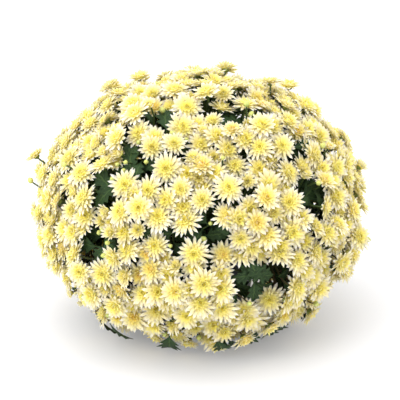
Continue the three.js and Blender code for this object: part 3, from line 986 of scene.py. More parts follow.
def paper_material(settings):
    """Matt white backdrop paper with a faint painted glow, a light of its own that keeps the plant's
    shadow pale."""
    material, _, shader = new_material("Paper backdrop, matt white, painted glow")
    values = {
        "Base Color": (*settings.floor, 1),
        "Roughness": 0.9,
        # Painted glow: the paper gives off a little light of its own, which lightens the shadow under
        # the plant
        "Emission Color": (1, 1, 1, 1),
        "Emission Strength": 0.2,
    }
    feed(shader, values)
    return material


MATERIALS = {}


def green_material(kind, settings):
    """The green materials, made once and shared by the shoots and the sprays."""
    makers = {"leaf": leaf_material, "stem": stem_material, "calyx": calyx_material}
    if kind not in MATERIALS:
        MATERIALS[kind] = makers[kind](settings)
    return MATERIALS[kind]


# Model pieces, each made once and then copied

# How near the places of two vertices are that stand in one row
NEAR = 1e-6


def model_blade(name, length, stations, tip_rise, thickness, material):
    """Models a thin closed blade along +X from a four-sided bar, and maps it: across the blade
    from 0 to 1 above and on to 2 below, and along it from 0 to 1. A station is a share of the
    length, the half width there, how high its middle lies and how far its edges stand up."""
    deselect_all()
    half = 0.5 * thickness
    bpy.ops.mesh.primitive_cylinder_add(
        vertices=4,
        radius=half,
        depth=length,
        location=(0.5 * length, 0, 0),
        rotation=(0, 0.5 * math.pi, 0),
    )
    blade = bpy.context.object
    blade.name = name
    bpy.ops.object.transform_apply(location=True, rotation=True, scale=True)
    edit(blade)
    for share, *_ in stations[1:]:
        bpy.ops.mesh.select_all(action="SELECT")
        bpy.ops.mesh.bisect(plane_co=(share * length, 0, 0), plane_no=(1, 0, 0))
    leave_edit()
    map_blade(blade.data, length, half)
    edit(blade)
    for share, half_width, rise, edge in stations:
        at = share * length
        pick(blade, lambda co: abs(co.x - at) < NEAR)
        stretch(1, half_width / half, 1, centre=(at, 0, 0))
        move(0, 0, rise)
        pick(blade, lambda co: abs(co.x - at) < NEAR and abs(co.y) > 0.5 * half_width)
        move(0, 0, edge)
    pick(blade, lambda co: abs(co.x - length) < NEAR)
    move(0, 0, tip_rise)
    bpy.ops.mesh.merge(type="CENTER")
    leave_edit()
    blade.data.materials.append(material)
    return blade


def map_blade(mesh, length, half):
    layer = mesh.uv_layers.new(name="blade")
    for face in mesh.polygons:
        for loop in face.loop_indices:
            place = mesh.vertices[mesh.loops[loop].vertex_index].co
            across = 0.5 + 0.5 * place.y / half
            layer.data[loop].uv = (2 - across if face.normal.z < 0 else across, place.x / length)


# Half width of a petal, as a share of its full half width, at shares of its length, by its cuts
PETAL_OUTLINE = {
    1: ((0, 0.42), (0.62, 1.0)),
    2: ((0, 0.4), (0.42, 0.96), (0.8, 0.84)),
}
PETAL_THICKNESS = 0.55 * MM
PETAL_HOLLOW = 0.16
# How the petals of a row differ: in turn as a share of their spacing, in rise in degrees, in roll,
# and in length, width and hollow. Each row stands a step higher than the one outside it.
PETAL_TURN = 0.24
PETAL_RISE = 8
PETAL_ROLL = 0.3
PETAL_LENGTHS = (0.84, 1.1)
PETAL_WIDTHS = (0.9, 1.1)
PETAL_HOLLOWS = (0.6, 1.4)
ROW_STEP = 0.5 * MM
PETAL_SMOOTH = 62


def model_petal(row, material):
    length = row.length * MM
    width = row.width * MM
    bend = row.curl * length
    stations = [
        (share, wide * 0.5 * width, bend * share**2, PETAL_HOLLOW * wide * width)
        for share, wide in PETAL_OUTLINE[row.cuts]
    ]
    return model_blade("petal", length, stations, bend, PETAL_THICKNESS, material)


def model_bloom(name, rows, draws, material):
    """Models a bloom from its rows of petals, outermost first, and the cushion in its middle."""
    parts = []
    for index, row in enumerate(rows):
        petal = model_petal(row, material)
        start = draws.turn()
        for k in range(row.count):
            turn = start + math.tau * (k + draws.between(-PETAL_TURN, PETAL_TURN)) / row.count
            rise = math.radians(row.rise + draws.between(-PETAL_RISE, PETAL_RISE))
            roll = draws.between(-PETAL_ROLL, PETAL_ROLL)
            sizes = [draws.between(*r) for r in (PETAL_LENGTHS, PETAL_WIDTHS, PETAL_HOLLOWS)]
            matrix = (
                Matrix.Rotation(turn, 4, "Z")
                @ Matrix.Translation((row.root * MM, 0, (index - 2) * ROW_STEP))
                @ Matrix.Rotation(-rise, 4, "Y")
                @ Matrix.Rotation(roll, 4, "X")
                @ Matrix.Diagonal((*sizes, 1))
            )
            parts.append(place_copy(petal, matrix))
        remove(petal)
    parts += model_cushion(material)
    bloom = join(parts, name)
    mark_heart(bloom)
    smooth(bloom, PETAL_SMOOTH)
    return bloom


EYE_RADIUS = 1.7 * MM
EYE_HEIGHT = 1.6 * MM
EYE_FOOT = 1 * MM
EYE_LEVEL = 0.92
CUSHION_RADIUS = 8.5 * MM
CUSHION_HEIGHT = 4.4 * MM
CUSHION_FOOT = 1.5 * MM
DOME_FOOT = 0.8


def model_dome(radius, height, foot, sides, material):
    """A low dome over a shallow foot, from a sphere."""
    deselect_all()
    bpy.ops.mesh.primitive_uv_sphere_add(segments=sides, ring_count=4, radius=radius)
    dome = bpy.context.object
    edit(dome)
    pick(dome, lambda co: co.z > 0)
    stretch(1, 1, height / radius)
    pick(dome, lambda co: co.z < -NEAR)
    stretch(DOME_FOOT, DOME_FOOT, foot / radius)
    leave_edit()
    dome.data.uv_layers.active.name = "blade"
    dome.data.materials.append(material)
    return dome


def model_cushion(material):
    """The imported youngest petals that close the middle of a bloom, and the folded eye on them."""
    cushion = model_dome(CUSHION_RADIUS, CUSHION_HEIGHT, CUSHION_FOOT, 9, material)
    eye = model_dome(EYE_RADIUS, EYE_HEIGHT, EYE_FOOT, 7, material)
    eye.data.transform(Matrix.Translation((0, 0, EYE_LEVEL * CUSHION_HEIGHT)))
    return [cushion, eye]


def mark_heart(bloom):
    """Notes at each point of a bloom how far it is from its axis, from 0 to 1 at the edge."""
    mesh = bloom.data
    places = np.zeros(len(mesh.vertices) * 3)
    mesh.vertices.foreach_get("co", places)
    out = np.linalg.norm(places.reshape(-1, 3)[:, :2], axis=1) / MODEL_RADIUS
    heart = mesh.attributes.new("heart", "FLOAT", "POINT")
    heart.data.foreach_set("value", np.clip(out, 0, 1))
    mesh.attributes.new("tint", "FLOAT", "POINT")


BUD_SIDES = 10
# How far the folds go in, and how far the tip goes up as a share of the radius
BUD_FOLD = 0.84
BUD_TIP = 0.18


def model_bud(material):
    """A closed bud: folded petals as ribs, drawn together to a blunt point."""
    deselect_all()
    bpy.ops.mesh.primitive_uv_sphere_add(segments=BUD_SIDES, ring_count=6, radius=MODEL_RADIUS)
    bud = bpy.context.object
    bud.name = "bud"
    edit(bud)

    def in_fold(co):
        turn = round(math.atan2(co.y, co.x) / math.tau * BUD_SIDES)
        return turn % 2 == 1 and math.hypot(co.x, co.y) > 0.1 * MODEL_RADIUS

    pick(bud, in_fold)
    stretch(BUD_FOLD, BUD_FOLD, 1)
    pick(bud, lambda co: co.z > 0.95 * MODEL_RADIUS)
    move(0, 0, BUD_TIP * MODEL_RADIUS)
    leave_edit()
    bud.data.uv_layers.active.name = "blade"
    bud.data.materials.append(material)
    mark_heart(bud)
    smooth(bud, 50)
    return bud


def lathe(name, profile, sides):
    """Models a closed round piece: a disc at the first point of the profile, extruded to the rest.
    A point is a radius and a height."""
    deselect_all()
    (radius, z), *rest = profile
    bpy.ops.mesh.primitive_circle_add(
        vertices=sides, radius=radius, fill_type="NGON", location=(0, 0, z)
    )
    piece = bpy.context.object
    piece.name = name
    bpy.ops.object.transform_apply(location=True, rotation=True, scale=True)
    edit(piece, "SELECT")
    for next_radius, next_z in rest:
        bpy.ops.mesh.extrude_region_move(TRANSFORM_OT_translate={"value": (0, 0, next_z - z)})
        share = next_radius / radius
        stretch(share, share, 1, centre=(0, 0, next_z))
        radius, z = next_radius, next_z
    bpy.ops.mesh.select_all(action="SELECT")
    bpy.ops.mesh.normals_make_consistent(inside=False)
    leave_edit()
    return piece


# The calyx under a model bloom, from the stalk to the petals
CALYX_PROFILE = [
    (1.7 * MM, -6.4 * MM),
    (5.0 * MM, -4.4 * MM),
    (6.4 * MM, -1.4 * MM),
    (3.0 * MM, -0.3 * MM),
]
CALYX_SIDES = 6


def model_calyx(material):
    calyx = lathe("calyx", CALYX_PROFILE, CALYX_SIDES)
    calyx.data.materials.append(material)
    smooth(calyx, 50)
    return calyx


# A large leaf: shares of its length from the stalk to the tip, and the half width there as a share
# of the length. Lobes point forward, so their edges are moved on by a share of the length.
LEAF_ROWS = [
    (0.0, 0.022, 0),
    (0.13, 0.026, 0),
    (0.24, 0.12, 0),
    (0.35, 0.29, 0.05),
    (0.45, 0.15, 0),
    (0.58, 0.36, 0.07),
    (0.68, 0.19, 0),
    (0.79, 0.24, 0.06),
    (0.88, 0.12, 0),
    (1.0, 0.03, 0),
]
LEAF_COLUMNS = 4
LEAF_LENGTH = 60 * MM
LEAF_THICKNESS = 0.5 * MM
# How high a leaf arches and how far its tip droops, as shares of its length, and how far each half
# stands up from the midrib, in its middle and at its edge, as shares of the half width
LEAF_ARCH = 0.24
LEAF_DROOP = 0.16
LEAF_FOLD = (0.16, 0.22)
# How much of a lobe's way forward the middle of each half goes
LEAF_INNER = 0.3
ASIDE = 4


def model_leaf(material):
    """Models a lobed leaf along +X from a grid: its rows are set to the outline, its halves folded
    up along the midrib, and the blade arched so that the tip droops."""
    deselect_all()
    rows = len(LEAF_ROWS) - 1
    bpy.ops.mesh.primitive_grid_add(x_subdivisions=rows, y_subdivisions=LEAF_COLUMNS, size=2)
    leaf = bpy.context.object
    leaf.name = "leaf"
    mesh = leaf.data
    mesh.uv_layers.active.name = "blade"
    for loop in mesh.loops:
        place = mesh.vertices[loop.vertex_index].co
        row = round((place.x + 1) / 2 * rows)
        mesh.uv_layers["blade"].data[loop.index].uv = (0.5 + 0.5 * place.y, LEAF_ROWS[row][0])
    edit(leaf)
    # Each row is shaped at its new place, well aside, so that no other row is picked with it
    for index, (share, half_width, forward) in enumerate(LEAF_ROWS):
        old = -1 + 2 * index / rows
        new = ASIDE + share * LEAF_LENGTH
        half = half_width * LEAF_LENGTH
        pick(leaf, lambda co: abs(co.x - old) < 1e-4)
        stretch(1, half, 1, centre=(old, 0, 0))
        rise = LEAF_LENGTH * (LEAF_ARCH * share * (1 - share) - LEAF_DROOP * share**2)
        move(new - old, 0, rise)
        pick(leaf, lambda co: abs(co.x - new) < 1e-5 and 0.1 * half < abs(co.y) < 0.9 * half)
        move(LEAF_INNER * forward * LEAF_LENGTH, 0, LEAF_FOLD[0] * half)
        pick(leaf, lambda co: abs(co.x - new) < 1e-5 and abs(co.y) > 0.9 * half)
        move(forward * LEAF_LENGTH, 0, LEAF_FOLD[1] * half)
    bpy.ops.mesh.select_all(action="SELECT")
    move(-ASIDE, 0, 0)
    leave_edit()
    leaf.data.materials.append(material)
    apply_modifier(leaf, "SOLIDIFY", thickness=LEAF_THICKNESS, offset=0)
    smooth(leaf, 40)
    return leaf


# A small leaf on a flower stalk: a narrow blade with a toothed edge. Share of the length, half
# width there, how high its middle lies and how far its edges stand up, all as shares of the length.
BRACT_LENGTH = 30 * MM
BRACT_STATIONS = [
    (0.0, 0.03, 0.0, 0.0),
    (0.3, 0.19, 0.06, 0.04),
    (0.46, 0.12, 0.07, 0.03),
    (0.66, 0.2, 0.05, 0.05),
]
BRACT_TIP = -0.06
BRACT_THICKNESS = 0.6 * MM


def model_bract(material):
    stations = [
        (share, *(value * BRACT_LENGTH for value in values)) for share, *values in BRACT_STATIONS
    ]
    tip = BRACT_TIP * BRACT_LENGTH
    bract = model_blade("bract", BRACT_LENGTH, stations, tip, BRACT_THICKNESS, material)
    smooth(bract, PETAL_SMOOTH)
    return bract


# Growing the plant from its models


def sweep_stems(name, paths, material, roundness):
    """Round stems along cubic paths, each with its radius at the start and at the end."""
    deselect_all()
    bpy.ops.curve.primitive_bezier_curve_add()
    stems = bpy.context.object
    stems.name = name
    curve = stems.data
    curve.splines.clear()
    curve.bevel_depth = 1
    curve.bevel_resolution = roundness
    curve.use_fill_caps = True
    curve.resolution_u = 4
    for path, thick, thin in paths:
        start, leave, arrive, end = path.controls
        spline = curve.splines.new("BEZIER")
        spline.bezier_points.add(1)
        first, last = spline.bezier_points
        for point, place, before, after, radius in (
            (first, start, 2 * start - leave, leave, thick),
            (last, end, arrive, 2 * end - arrive, thin),
        ):
            point.handle_left_type = "FREE"
            point.handle_right_type = "FREE"
            point.co = place
            point.handle_left = before
            point.handle_right = after
            point.radius = radius
    bpy.ops.object.convert(target="MESH")
    stems = bpy.context.object
    stems.data.materials.clear()
    stems.data.materials.append(material)
    edit(stems, "SELECT")
    bpy.ops.mesh.remove_doubles(threshold=0.001 * MM)
    bpy.ops.mesh.normals_make_consistent(inside=False)
    leave_edit()
    smooth(stems, 50)
    return stems


# Where a flower stalk leaves the knot, as a share of its radius, and how far its two ends run
# straight, as shares of its reach
STALK_START = 0.35
STALK_ENDS = (0.4, 0.3)


def stalk_path(spray, bloom):
    """From the spray's knot to the foot of a bloom's calyx, where it arrives along the bloom."""
    depth = CALYX_DEPTH * bloom.radius / MODEL_RADIUS
    calyx = bloom.middle - bloom.face * depth
    out = (calyx - spray.knot).normalized()
    start = spray.knot + out * (STALK_START * KNOT_RADIUS)
    first, last = ((calyx - start).length * share for share in STALK_ENDS)
    return Path(start, start + out * first, calyx - bloom.face * last, calyx)


# Where the small leaf sits on a flower stalk, as a share of its length, how far it points on along
# the stalk, and how long it is
BRACT_AT = (0.35, 0.72)
BRACT_LEAN = (0.3, 0.9)
BRACT_SIZE = (24 * MM, 36 * MM)
BRACT_SKY = 0.3
# The calyx of a bud is a little smaller for its size
BUD_CALYX = 0.95
# Radii of the stems in a spray at their start and end: its foot as shares of a branch's radius, and
# its flower stalks and its leaf stalks as shares of a stalk's
FOOT_RADII = (1, 1.7)
STALK_RADII = (1.5, 1)
LEAF_STALK_RADII = (1.2, 0.8)
LEAF_STALK_END = 8 * MM
# Leaves that show in the gaps of the bloom cover: one for so much half width, their length, and how
# far under the ball's surface they lie
WINDOW_LEAF_EVERY = 3.2 * MM
WINDOW_LEAF_SIZE = (34 * MM, 50 * MM)
WINDOW_LEAF_DEPTH = (14 * MM, 34 * MM)
WINDOW_LEAF_LEAN = 0.25
# Leaves that hang out under the skirt: degrees right of the front
FRINGE = (-68, -58, -47, -14, 7, 10, 27, 36, 42, 66, 88)
FRINGE += (104, 119, 137, 158, 171, 196, 214, 232, 249, 266, 281)
FRINGE_Z = 60 * MM
FRINGE_DEPTH = (-13 * MM, -2 * MM)
FRINGE_TURN = 0.7
FRINGE_SIZE = (40 * MM, 52 * MM)
LEAF_SEED = 97


def plan_window_leaves(sprays):
    """Gives each spray the leaves that show in the gaps near it."""
    draws = Draws(LEAF_SEED)
    for degrees, z, size in WINDOWS:
        middle = ball_point(degrees, z)
        out = ball_normal(middle)
        for k in range(round(size / WINDOW_LEAF_EVERY)):
            aside = across(out, k * GOLDEN_TURN) * (size * math.sqrt(draws.share()))
            spot = onto_ball(middle + aside)
            depth = draws.between(*WINDOW_LEAF_DEPTH)
            length = draws.between(*WINDOW_LEAF_SIZE)
            leaves = nearest_spray(spot, sprays).window_leaves
            leaves.append((spot, depth, draws.turn(), length))
    for degrees in FRINGE:
        spot = ball_point(degrees, FRINGE_Z)
        depth = draws.between(*FRINGE_DEPTH)
        turn = math.pi + draws.between(-FRINGE_TURN, FRINGE_TURN)
        leaves = nearest_spray(spot, sprays).window_leaves
        leaves.append((spot, depth, turn, draws.between(*FRINGE_SIZE)))


def grow_stalks(spray, name, models, draws):
    """The green parts of a spray: its stalks, a calyx under each bloom, and its small leaves."""
    seat, knot = spray.seat, spray.knot
    foot = Path(seat, seat.lerp(knot, 0.3), seat.lerp(knot, 0.7), knot)
    stalks = [stalk_path(spray, bloom) for bloom in spray.blooms]
    paths = [(foot, *(share * BRANCH_RADIUS for share in FOOT_RADII))]
    stalk_radii = [share * STALK_RADIUS for share in STALK_RADII]
    leaf_radii = [share * STALK_RADIUS for share in LEAF_STALK_RADII]
    paths += [(path, *stalk_radii) for path in stalks]
    leaves = []
    for window, depth, turn, length in spray.window_leaves:
        out = ball_normal(window)
        base = window - out * depth
        path = Path(knot, knot.lerp(base, 0.4), base - out * LEAF_STALK_END, base)
        paths.append((path, *leaf_radii))
        along = across(out, turn) + out * WINDOW_LEAF_LEAN
        leaves.append((base, along, out, length / LEAF_LENGTH))
    parts = [sweep_stems(name, paths, models["stem"], 0)]
    parts += [place_copy(models["leaf"], leaf_matrix(*leaf)) for leaf in leaves]
    for bloom, path in zip(spray.blooms, stalks):
        scale = bloom.radius / MODEL_RADIUS
        if bloom.model == "bud":
            scale *= BUD_CALYX
        hint = UP if abs(bloom.face.z) < 0.9 else Vector((1, 0, 0))
        parts.append(place_copy(models["calyx"], bloom_matrix(bloom, hint, scale)))
        away = path.length * draws.between(*BRACT_AT)
        heading = path.heading(away)
        along = across(heading, draws.turn()) + heading * draws.between(*BRACT_LEAN)
        sky = ball_normal(bloom.at) + heading * BRACT_SKY
        scale = draws.between(*BRACT_SIZE) / BRACT_LENGTH
        matrix = leaf_matrix(path.place(away), along, sky, scale)
        parts.append(place_copy(models["bract"], matrix))
    return join(parts, name)


def grow_blooms(spray, name, models, draws):
    """The blooms and buds of a spray."""
    parts = []
    for bloom in spray.blooms:
        choices = models[bloom.model]
        model = choices[int(draws.share() * len(choices))]
        spread = 1 if bloom.model == "bud" else BLOOM_SPREAD
        hint = Vector((math.cos(bloom.spin), math.sin(bloom.spin), 0.37))
        copy = place_copy(model, bloom_matrix(bloom, hint, spread * bloom.radius / MODEL_RADIUS))
        tint = copy.data.attributes["tint"].data
        tint.foreach_set("value", [draws.share()] * len(tint))
        parts.append(copy)
    return join(parts, name)


# Where the leaves of a trunk and of a branch sit, as shares of its length, and how long they are
TRUNK_LEAVES = (0.5, 0.7, 0.9)
TRUNK_LEAF = 58 * MM
BRANCH_LEAVES = (0.2, 0.6)
BRANCH_LEAF = 52 * MM
STEM_LEAF_LEAN = 0.5
STEM_LEAF_SPREAD = (0.85, 1.15)
# How much thicker a trunk is at its root and in its fork, and a branch at the fork
TRUNK_FLARE = 1.15
FORK_FLARE = 1.1
BRANCH_FLARE = 1.25
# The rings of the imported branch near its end, measured back from it, and how far the leaves between
# them rise to the sky
LEAF_RINGS = (14 * MM, 9 * MM, 4 * MM)
LEAF_RISE = 0.45


def grow_shoot(name, shoot, models, draws):
    """One shoot: its trunk, its branches, and the leaves that each of them carries."""
    fork, trunk, branches = shoot
    reach = 3 * TRUNK_RADIUS
    up = trunk.heading(trunk.length)
    tip = trunk.controls[3]
    top = Path(tip, tip + up * reach * 0.3, fork - up * reach * 0.1, fork)
    paths = [(trunk, TRUNK_FLARE * TRUNK_RADIUS, TRUNK_RADIUS)]
    paths.append((top, TRUNK_RADIUS, FORK_FLARE * TRUNK_RADIUS))
    leaves = [stem_leaf(trunk, share, TRUNK_LEAF, draws) for share in TRUNK_LEAVES]
    total = bpy.context.scene.mum_foliage.branch_leaves
    first, spread = BRANCH_LEAVES
    for spray, path in branches:
        start, leave, arrive, end = path.controls
        whole = Path(fork, start.lerp(leave, 0.4), arrive, end)
        paths.append((whole, BRANCH_FLARE * BRANCH_RADIUS, BRANCH_RADIUS))
        leaves += end_leaves(spray, path)
        for k in range(total):
            share = first + spread * (k + 0.5) / total
            leaves.append(stem_leaf(path, share, BRANCH_LEAF, draws))
    parts = [sweep_stems("stems", paths, models["stem"], 2)]
    parts += [place_copy(models["leaf"], leaf_matrix(*leaf)) for leaf in leaves]
    return join(parts, name)


def stem_leaf(path, share, length, draws):
    """A leaf at a share of a stem's length, on a side of its own."""
    heading = path.heading(path.length * share)
    base = path.place(path.length * share)
    along = across(heading, draws.turn()) + heading * STEM_LEAF_LEAN
    sky = (base - Vector((0, 0, BALL_CENTRE_Z))).normalized() + UP
    return base, along, sky, length * draws.between(*STEM_LEAF_SPREAD) / LEAF_LENGTH


def end_leaves(spray, path):
    """The two leaves near the end of a branch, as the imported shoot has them: between two rings of
    the stem, on the two of its three sides that look most to the sky."""
    stations = [0, 0.45 * (path.length - LEAF_RINGS[0])]
    stations += [path.length - back for back in LEAF_RINGS] + [path.length]
    first = ASLANT.normalized()
    frames = []
    for distance in stations:
        heading = path.heading(distance)
        first = square_to(heading, first)
        frames.append((path.place(distance), first, heading.cross(first)))

    def corner(frame, k):
        place, one, two = frame
        turn = k * math.tau / 3
        return place + (one * math.cos(turn) + two * math.sin(turn)) * BRANCH_RADIUS

    looks = [corner(frames[-1], k).z + corner(frames[-1], k + 1).z for k in range(3)]
    order = sorted(range(3), key=lambda k: -looks[k])
    sky = ball_normal(spray.at)
    leaves = []
    for index, side in ((2, order[0]), (3, order[1])):
        corners = [corner(frames[index + step], side + k) for step in (0, 1) for k in (0, 1)]
        base = sum(corners, Vector()) / 4
        away = (corners[1] - corners[0]).cross(corners[2] - corners[0]).normalized()
        leaves.append((base, away + sky * LEAF_RISE, sky, spray.ring.leaf / LEAF_LENGTH))
    return leaves


# Pot and soil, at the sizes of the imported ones
POT_HEIGHT = 135 * MM
POT_RIM_RADIUS = 92 * MM
POT_BASE_RADIUS = 68 * MM
RIM_BAND_HEIGHT = 13 * MM
RIM_BAND_PROUD = 2.6 * MM
FOOT_WIDTH = 12 * MM
FOOT_SLOPE = 2 * MM
BASE_RECESS = 2.4 * MM
ROUND_SIDES = 72
DRAIN_HOLES = 4
DRAIN_RADIUS = 5 * MM
DRAIN_RING_RADIUS = 42 * MM
LIP = 0.6 * MM
SOIL_CROWN = 4 * MM
SOIL_EDGE = 2 * MM
SOIL_RINGS = 14
SOIL_RELIEF = 5.2 * MM
SOIL_CRUMB = 5 * MM


def pot_radius(z):
    return POT_BASE_RADIUS + (POT_RIM_RADIUS - POT_BASE_RADIUS) * z / POT_HEIGHT


class MUM_OT_pot(bpy.types.Operator):
    """Make the nursery pot: a lathed wall with a rim band, a foot ring and four drain holes"""

    bl_idname = "mum.pot"
    bl_label = "Pot"

    def execute(self, context):
        settings = context.scene.mum_pot
        wall = settings.wall
        band_foot = POT_HEIGHT - RIM_BAND_HEIGHT
        floor = BASE_RECESS + wall
        # From the recess under the base, out over the foot and the rim, and down to the floor
        profile = [
            (POT_BASE_RADIUS - FOOT_WIDTH, BASE_RECESS),
            (POT_BASE_RADIUS - FOOT_WIDTH + FOOT_SLOPE, 0),
            (POT_BASE_RADIUS, 0),
            (pot_radius(band_foot), band_foot),
            (pot_radius(band_foot) + RIM_BAND_PROUD, band_foot),
            (POT_RIM_RADIUS + RIM_BAND_PROUD, POT_HEIGHT),
            (POT_RIM_RADIUS - wall, POT_HEIGHT),
            (pot_radius(floor) - wall, floor),
        ]
        pot = lathe("pot_wall", profile, ROUND_SIDES)
        for k in range(DRAIN_HOLES):
            turn = (k + 0.5) * math.tau / DRAIN_HOLES
            place = (DRAIN_RING_RADIUS * math.cos(turn), DRAIN_RING_RADIUS * math.sin(turn), floor)
            deselect_all()
            bpy.ops.mesh.primitive_cylinder_add(
                vertices=24, radius=DRAIN_RADIUS, depth=6 * wall, location=place
            )
            hole = context.object
            apply_modifier(pot, "BOOLEAN", operation="DIFFERENCE", solver="EXACT", object=hole)
            remove(hole)
        apply_modifier(pot, "BEVEL", width=LIP, segments=2, limit_method="ANGLE")
        pot.data.materials.clear()
        pot.data.materials.append(pot_material(settings))
        smooth(pot, 35)
        finish_piece(pot, "pot", "pot")
        return {"FINISHED"}


class MUM_OT_soil(bpy.types.Operator):
    """Fill the pot with peat: a low crown with a crumbly top"""

    bl_idname = "mum.soil"
    bl_label = "Soil"

    def execute(self, context):
        settings = context.scene.mum_pot
        clear = settings.wall + SEAT_GAP
        bottom = BASE_RECESS + clear
        brim = SOIL_TOP - SOIL_EDGE
        edge = pot_radius(brim) - clear
        profile = [(pot_radius(bottom) - clear, bottom), (edge, brim)]
        for k in range(1, SOIL_RINGS):
            share = 1 - k / SOIL_RINGS
            profile.append((edge * share, brim + (SOIL_CROWN + SOIL_EDGE) * (1 - share**3)))
        soil = lathe("soil_peat", profile, ROUND_SIDES)
        top = soil.vertex_groups.new(name="top")
        is_top = [v.index for v in soil.data.vertices if v.co.z > SOIL_TOP - 0.5 * SOIL_EDGE]
        top.add(is_top, 1, "REPLACE")
        crumbs = bpy.data.textures.new("crumbs", "CLOUDS")
        crumbs.noise_scale = SOIL_CRUMB
        crumbs.noise_depth = 2
        apply_modifier(
            soil,
            "DISPLACE",
            texture=crumbs,
            vertex_group="top",
            direction="Z",
            strength=SOIL_RELIEF,
            mid_level=0.5,
            texture_coords="LOCAL",
        )
        soil.vertex_groups.clear()
        soil.data.materials.append(peat_material(settings))
        smooth(soil, 60)
        finish_piece(soil, "soil", "soil")
        return {"FINISHED"}


class MUM_OT_shoots(bpy.types.Operator):
    """Grow the leafy shoots from the soil to the foot of each spray"""

    bl_idname = "mum.shoots"
    bl_label = "Shoots and leaves"

    def execute(self, context):
        settings = context.scene.mum_foliage
        models = {
            "leaf": model_leaf(green_material("leaf", settings)),
            "stem": green_material("stem", settings),
        }
        draws = Draws(LEAF_SEED + 1)
        for number, shoot in enumerate(plan_plant()["shoots"], start=1):
            piece = grow_shoot(f"shoot_{number:02d}_foliage", shoot, models, draws)
            finish_piece(piece, "foliage", f"shoot_{number:02d}")
        remove(models["leaf"])
        return {"FINISHED"}


class MUM_OT_stalks(bpy.types.Operator):
    """Grow the stalks, calyxes and small leaves of every spray"""

    bl_idname = "mum.stalks"
    bl_label = "Stalks"

    def execute(self, context):
        settings = context.scene.mum_foliage
        sprays = plan_plant()["sprays"]
        leaf = green_material("leaf", settings)
        models = {
            "leaf": model_leaf(leaf),
            "bract": model_bract(leaf),
            "calyx": model_calyx(green_material("calyx", settings)),
            "stem": green_material("stem", settings),
        }
        draws = Draws(LEAF_SEED + 2)
        for number, spray in enumerate(sprays, start=1):
            piece = grow_stalks(spray, f"spray_{number:02d}_stalks", models, draws)
            finish_piece(piece, "foliage")
        for kind in ("leaf", "bract", "calyx"):
            remove(models[kind])
        return {"FINISHED"}


MODEL_SEED = 5309


class MUM_OT_blooms(bpy.types.Operator):
    """Model the blooms and buds, and set them on the stalks of every spray"""

    bl_idname = "mum.blooms"
    bl_label = "Blooms"

    def execute(self, context):
        settings = context.scene.mum_blooms
        sprays = plan_plant()["sprays"]
        petal = petal_material(settings)
        draws = Draws(MODEL_SEED)
        models = {"bud": [model_bud(bud_material(settings))]}
        for kind, rows in BLOOM_ROWS.items():
            names = [f"{kind}_{k}" for k in range(MODELS_OF_EACH[kind])]
            models[kind] = [model_bloom(name, rows, draws, petal) for name in names]
        for number, spray in enumerate(sprays, start=1):
            piece = grow_blooms(spray, f"spray_{number:02d}_blooms", models, draws)
            finish_piece(piece, "bloom", f"spray_{number:02d}")
        for model in sum(models.values(), []):
            remove(model)
        return {"FINISHED"}


# Stage: the camera of the photograph, taken from in front and about 20 degrees above
CAMERA_TARGET = Vector((0, 0, 189 * MM))
CAMERA_DISTANCE = 2.2
CAMERA_ELEVATION = 20
FRAME_WIDTH = 0.61
SENSOR_WIDTH = 36
CAMERA_SHIFT = (-0.001, 0.01)
FLOOR_SIZE = 14
KEY_PLACE = Vector((-0.6, -0.9, 2.9))
KEY_SIZE = 2.4
FILL_PLACE = Vector((-2.0, -2.0, 1.5))
FILL_SIZE = 1.6


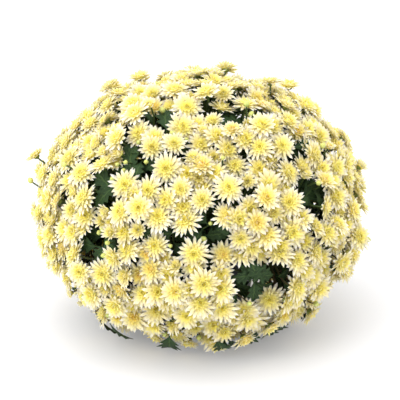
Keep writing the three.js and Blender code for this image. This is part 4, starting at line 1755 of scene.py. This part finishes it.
class MUM_OT_stage(bpy.types.Operator):
    """Set the plain pale floor, the soft light and the camera"""

    bl_idname = "mum.stage"
    bl_label = "Stage"

    def execute(self, context):
        settings = context.scene.mum_stage
        deselect_all()
        bpy.ops.mesh.primitive_plane_add(size=FLOOR_SIZE)
        floor = context.object
        floor.name = "floor"
        floor.data.materials.append(paper_material(settings))
        self.add_camera(context)
        self.add_light(context, KEY_PLACE, KEY_SIZE, settings.key)
        self.add_light(context, FILL_PLACE, FILL_SIZE, settings.fill)
        world = context.scene.world or bpy.data.worlds.new("surroundings")
        context.scene.world = world
        world.use_nodes = True
        feed(world.node_tree.nodes["Background"], ((1, 1, 1, 1), settings.sky))
        context.scene.view_settings.view_transform = "Standard"
        return {"FINISHED"}

    def add_camera(self, context):
        lift = math.radians(CAMERA_ELEVATION)
        back = Vector((0, -math.cos(lift), math.sin(lift)))
        bpy.ops.object.camera_add(location=CAMERA_TARGET + back * CAMERA_DISTANCE)
        camera = context.object
        camera.rotation_euler = (-back).to_track_quat("-Z", "Y").to_euler()
        camera.data.sensor_width = SENSOR_WIDTH
        camera.data.lens = SENSOR_WIDTH * CAMERA_DISTANCE / FRAME_WIDTH
        camera.data.shift_x, camera.data.shift_y = CAMERA_SHIFT
        context.scene.camera = camera

    def add_light(self, context, place, size, energy):
        bpy.ops.object.light_add(type="AREA", location=place)
        light = context.object
        light.rotation_euler = (CAMERA_TARGET - place).to_track_quat("-Z", "Y").to_euler()
        light.data.size = size
        light.data.energy = energy


class MUM_PT_panel(bpy.types.Panel):
    """The sizes and colours of the plant, and a button for each group of pieces"""

    bl_label = "Potted chrysanthemum"
    bl_idname = "MUM_PT_panel"
    bl_space_type = "VIEW_3D"
    bl_region_type = "UI"
    bl_category = "Plant"

    def draw(self, context):
        for group, (_, buttons) in GROUPS.items():
            box = self.layout.box()
            settings = getattr(context.scene, group)
            for name in settings.__annotations__:
                box.prop(settings, name)
            for button in buttons:
                box.operator(button.bl_idname)


# The settings of each part of the work, and the operators that use them, in their order
GROUPS = {
    "mum_pot": (PotSettings, (MUM_OT_pot, MUM_OT_soil)),
    "mum_foliage": (FoliageSettings, (MUM_OT_shoots, MUM_OT_stalks)),
    "mum_blooms": (BloomSettings, (MUM_OT_blooms,)),
    "mum_stage": (StageSettings, (MUM_OT_stage,)),
}
CLASSES = [cls for settings, buttons in GROUPS.values() for cls in (settings, *buttons)]
CLASSES.append(MUM_PT_panel)


def register():
    for cls in CLASSES:
        bpy.utils.register_class(cls)
    for name, (settings, _) in GROUPS.items():
        setattr(bpy.types.Scene, name, PointerProperty(type=settings))


def unregister():
    for name in GROUPS:
        delattr(bpy.types.Scene, name)
    for cls in reversed(CLASSES):
        bpy.utils.unregister_class(cls)


def main():
    register()
    bpy.ops.mum.pot()
    bpy.ops.mum.soil()
    bpy.ops.mum.shoots()
    bpy.ops.mum.stalks()
    bpy.ops.mum.blooms()
    bpy.ops.mum.stage()


if __name__ == "__main__":
    main()
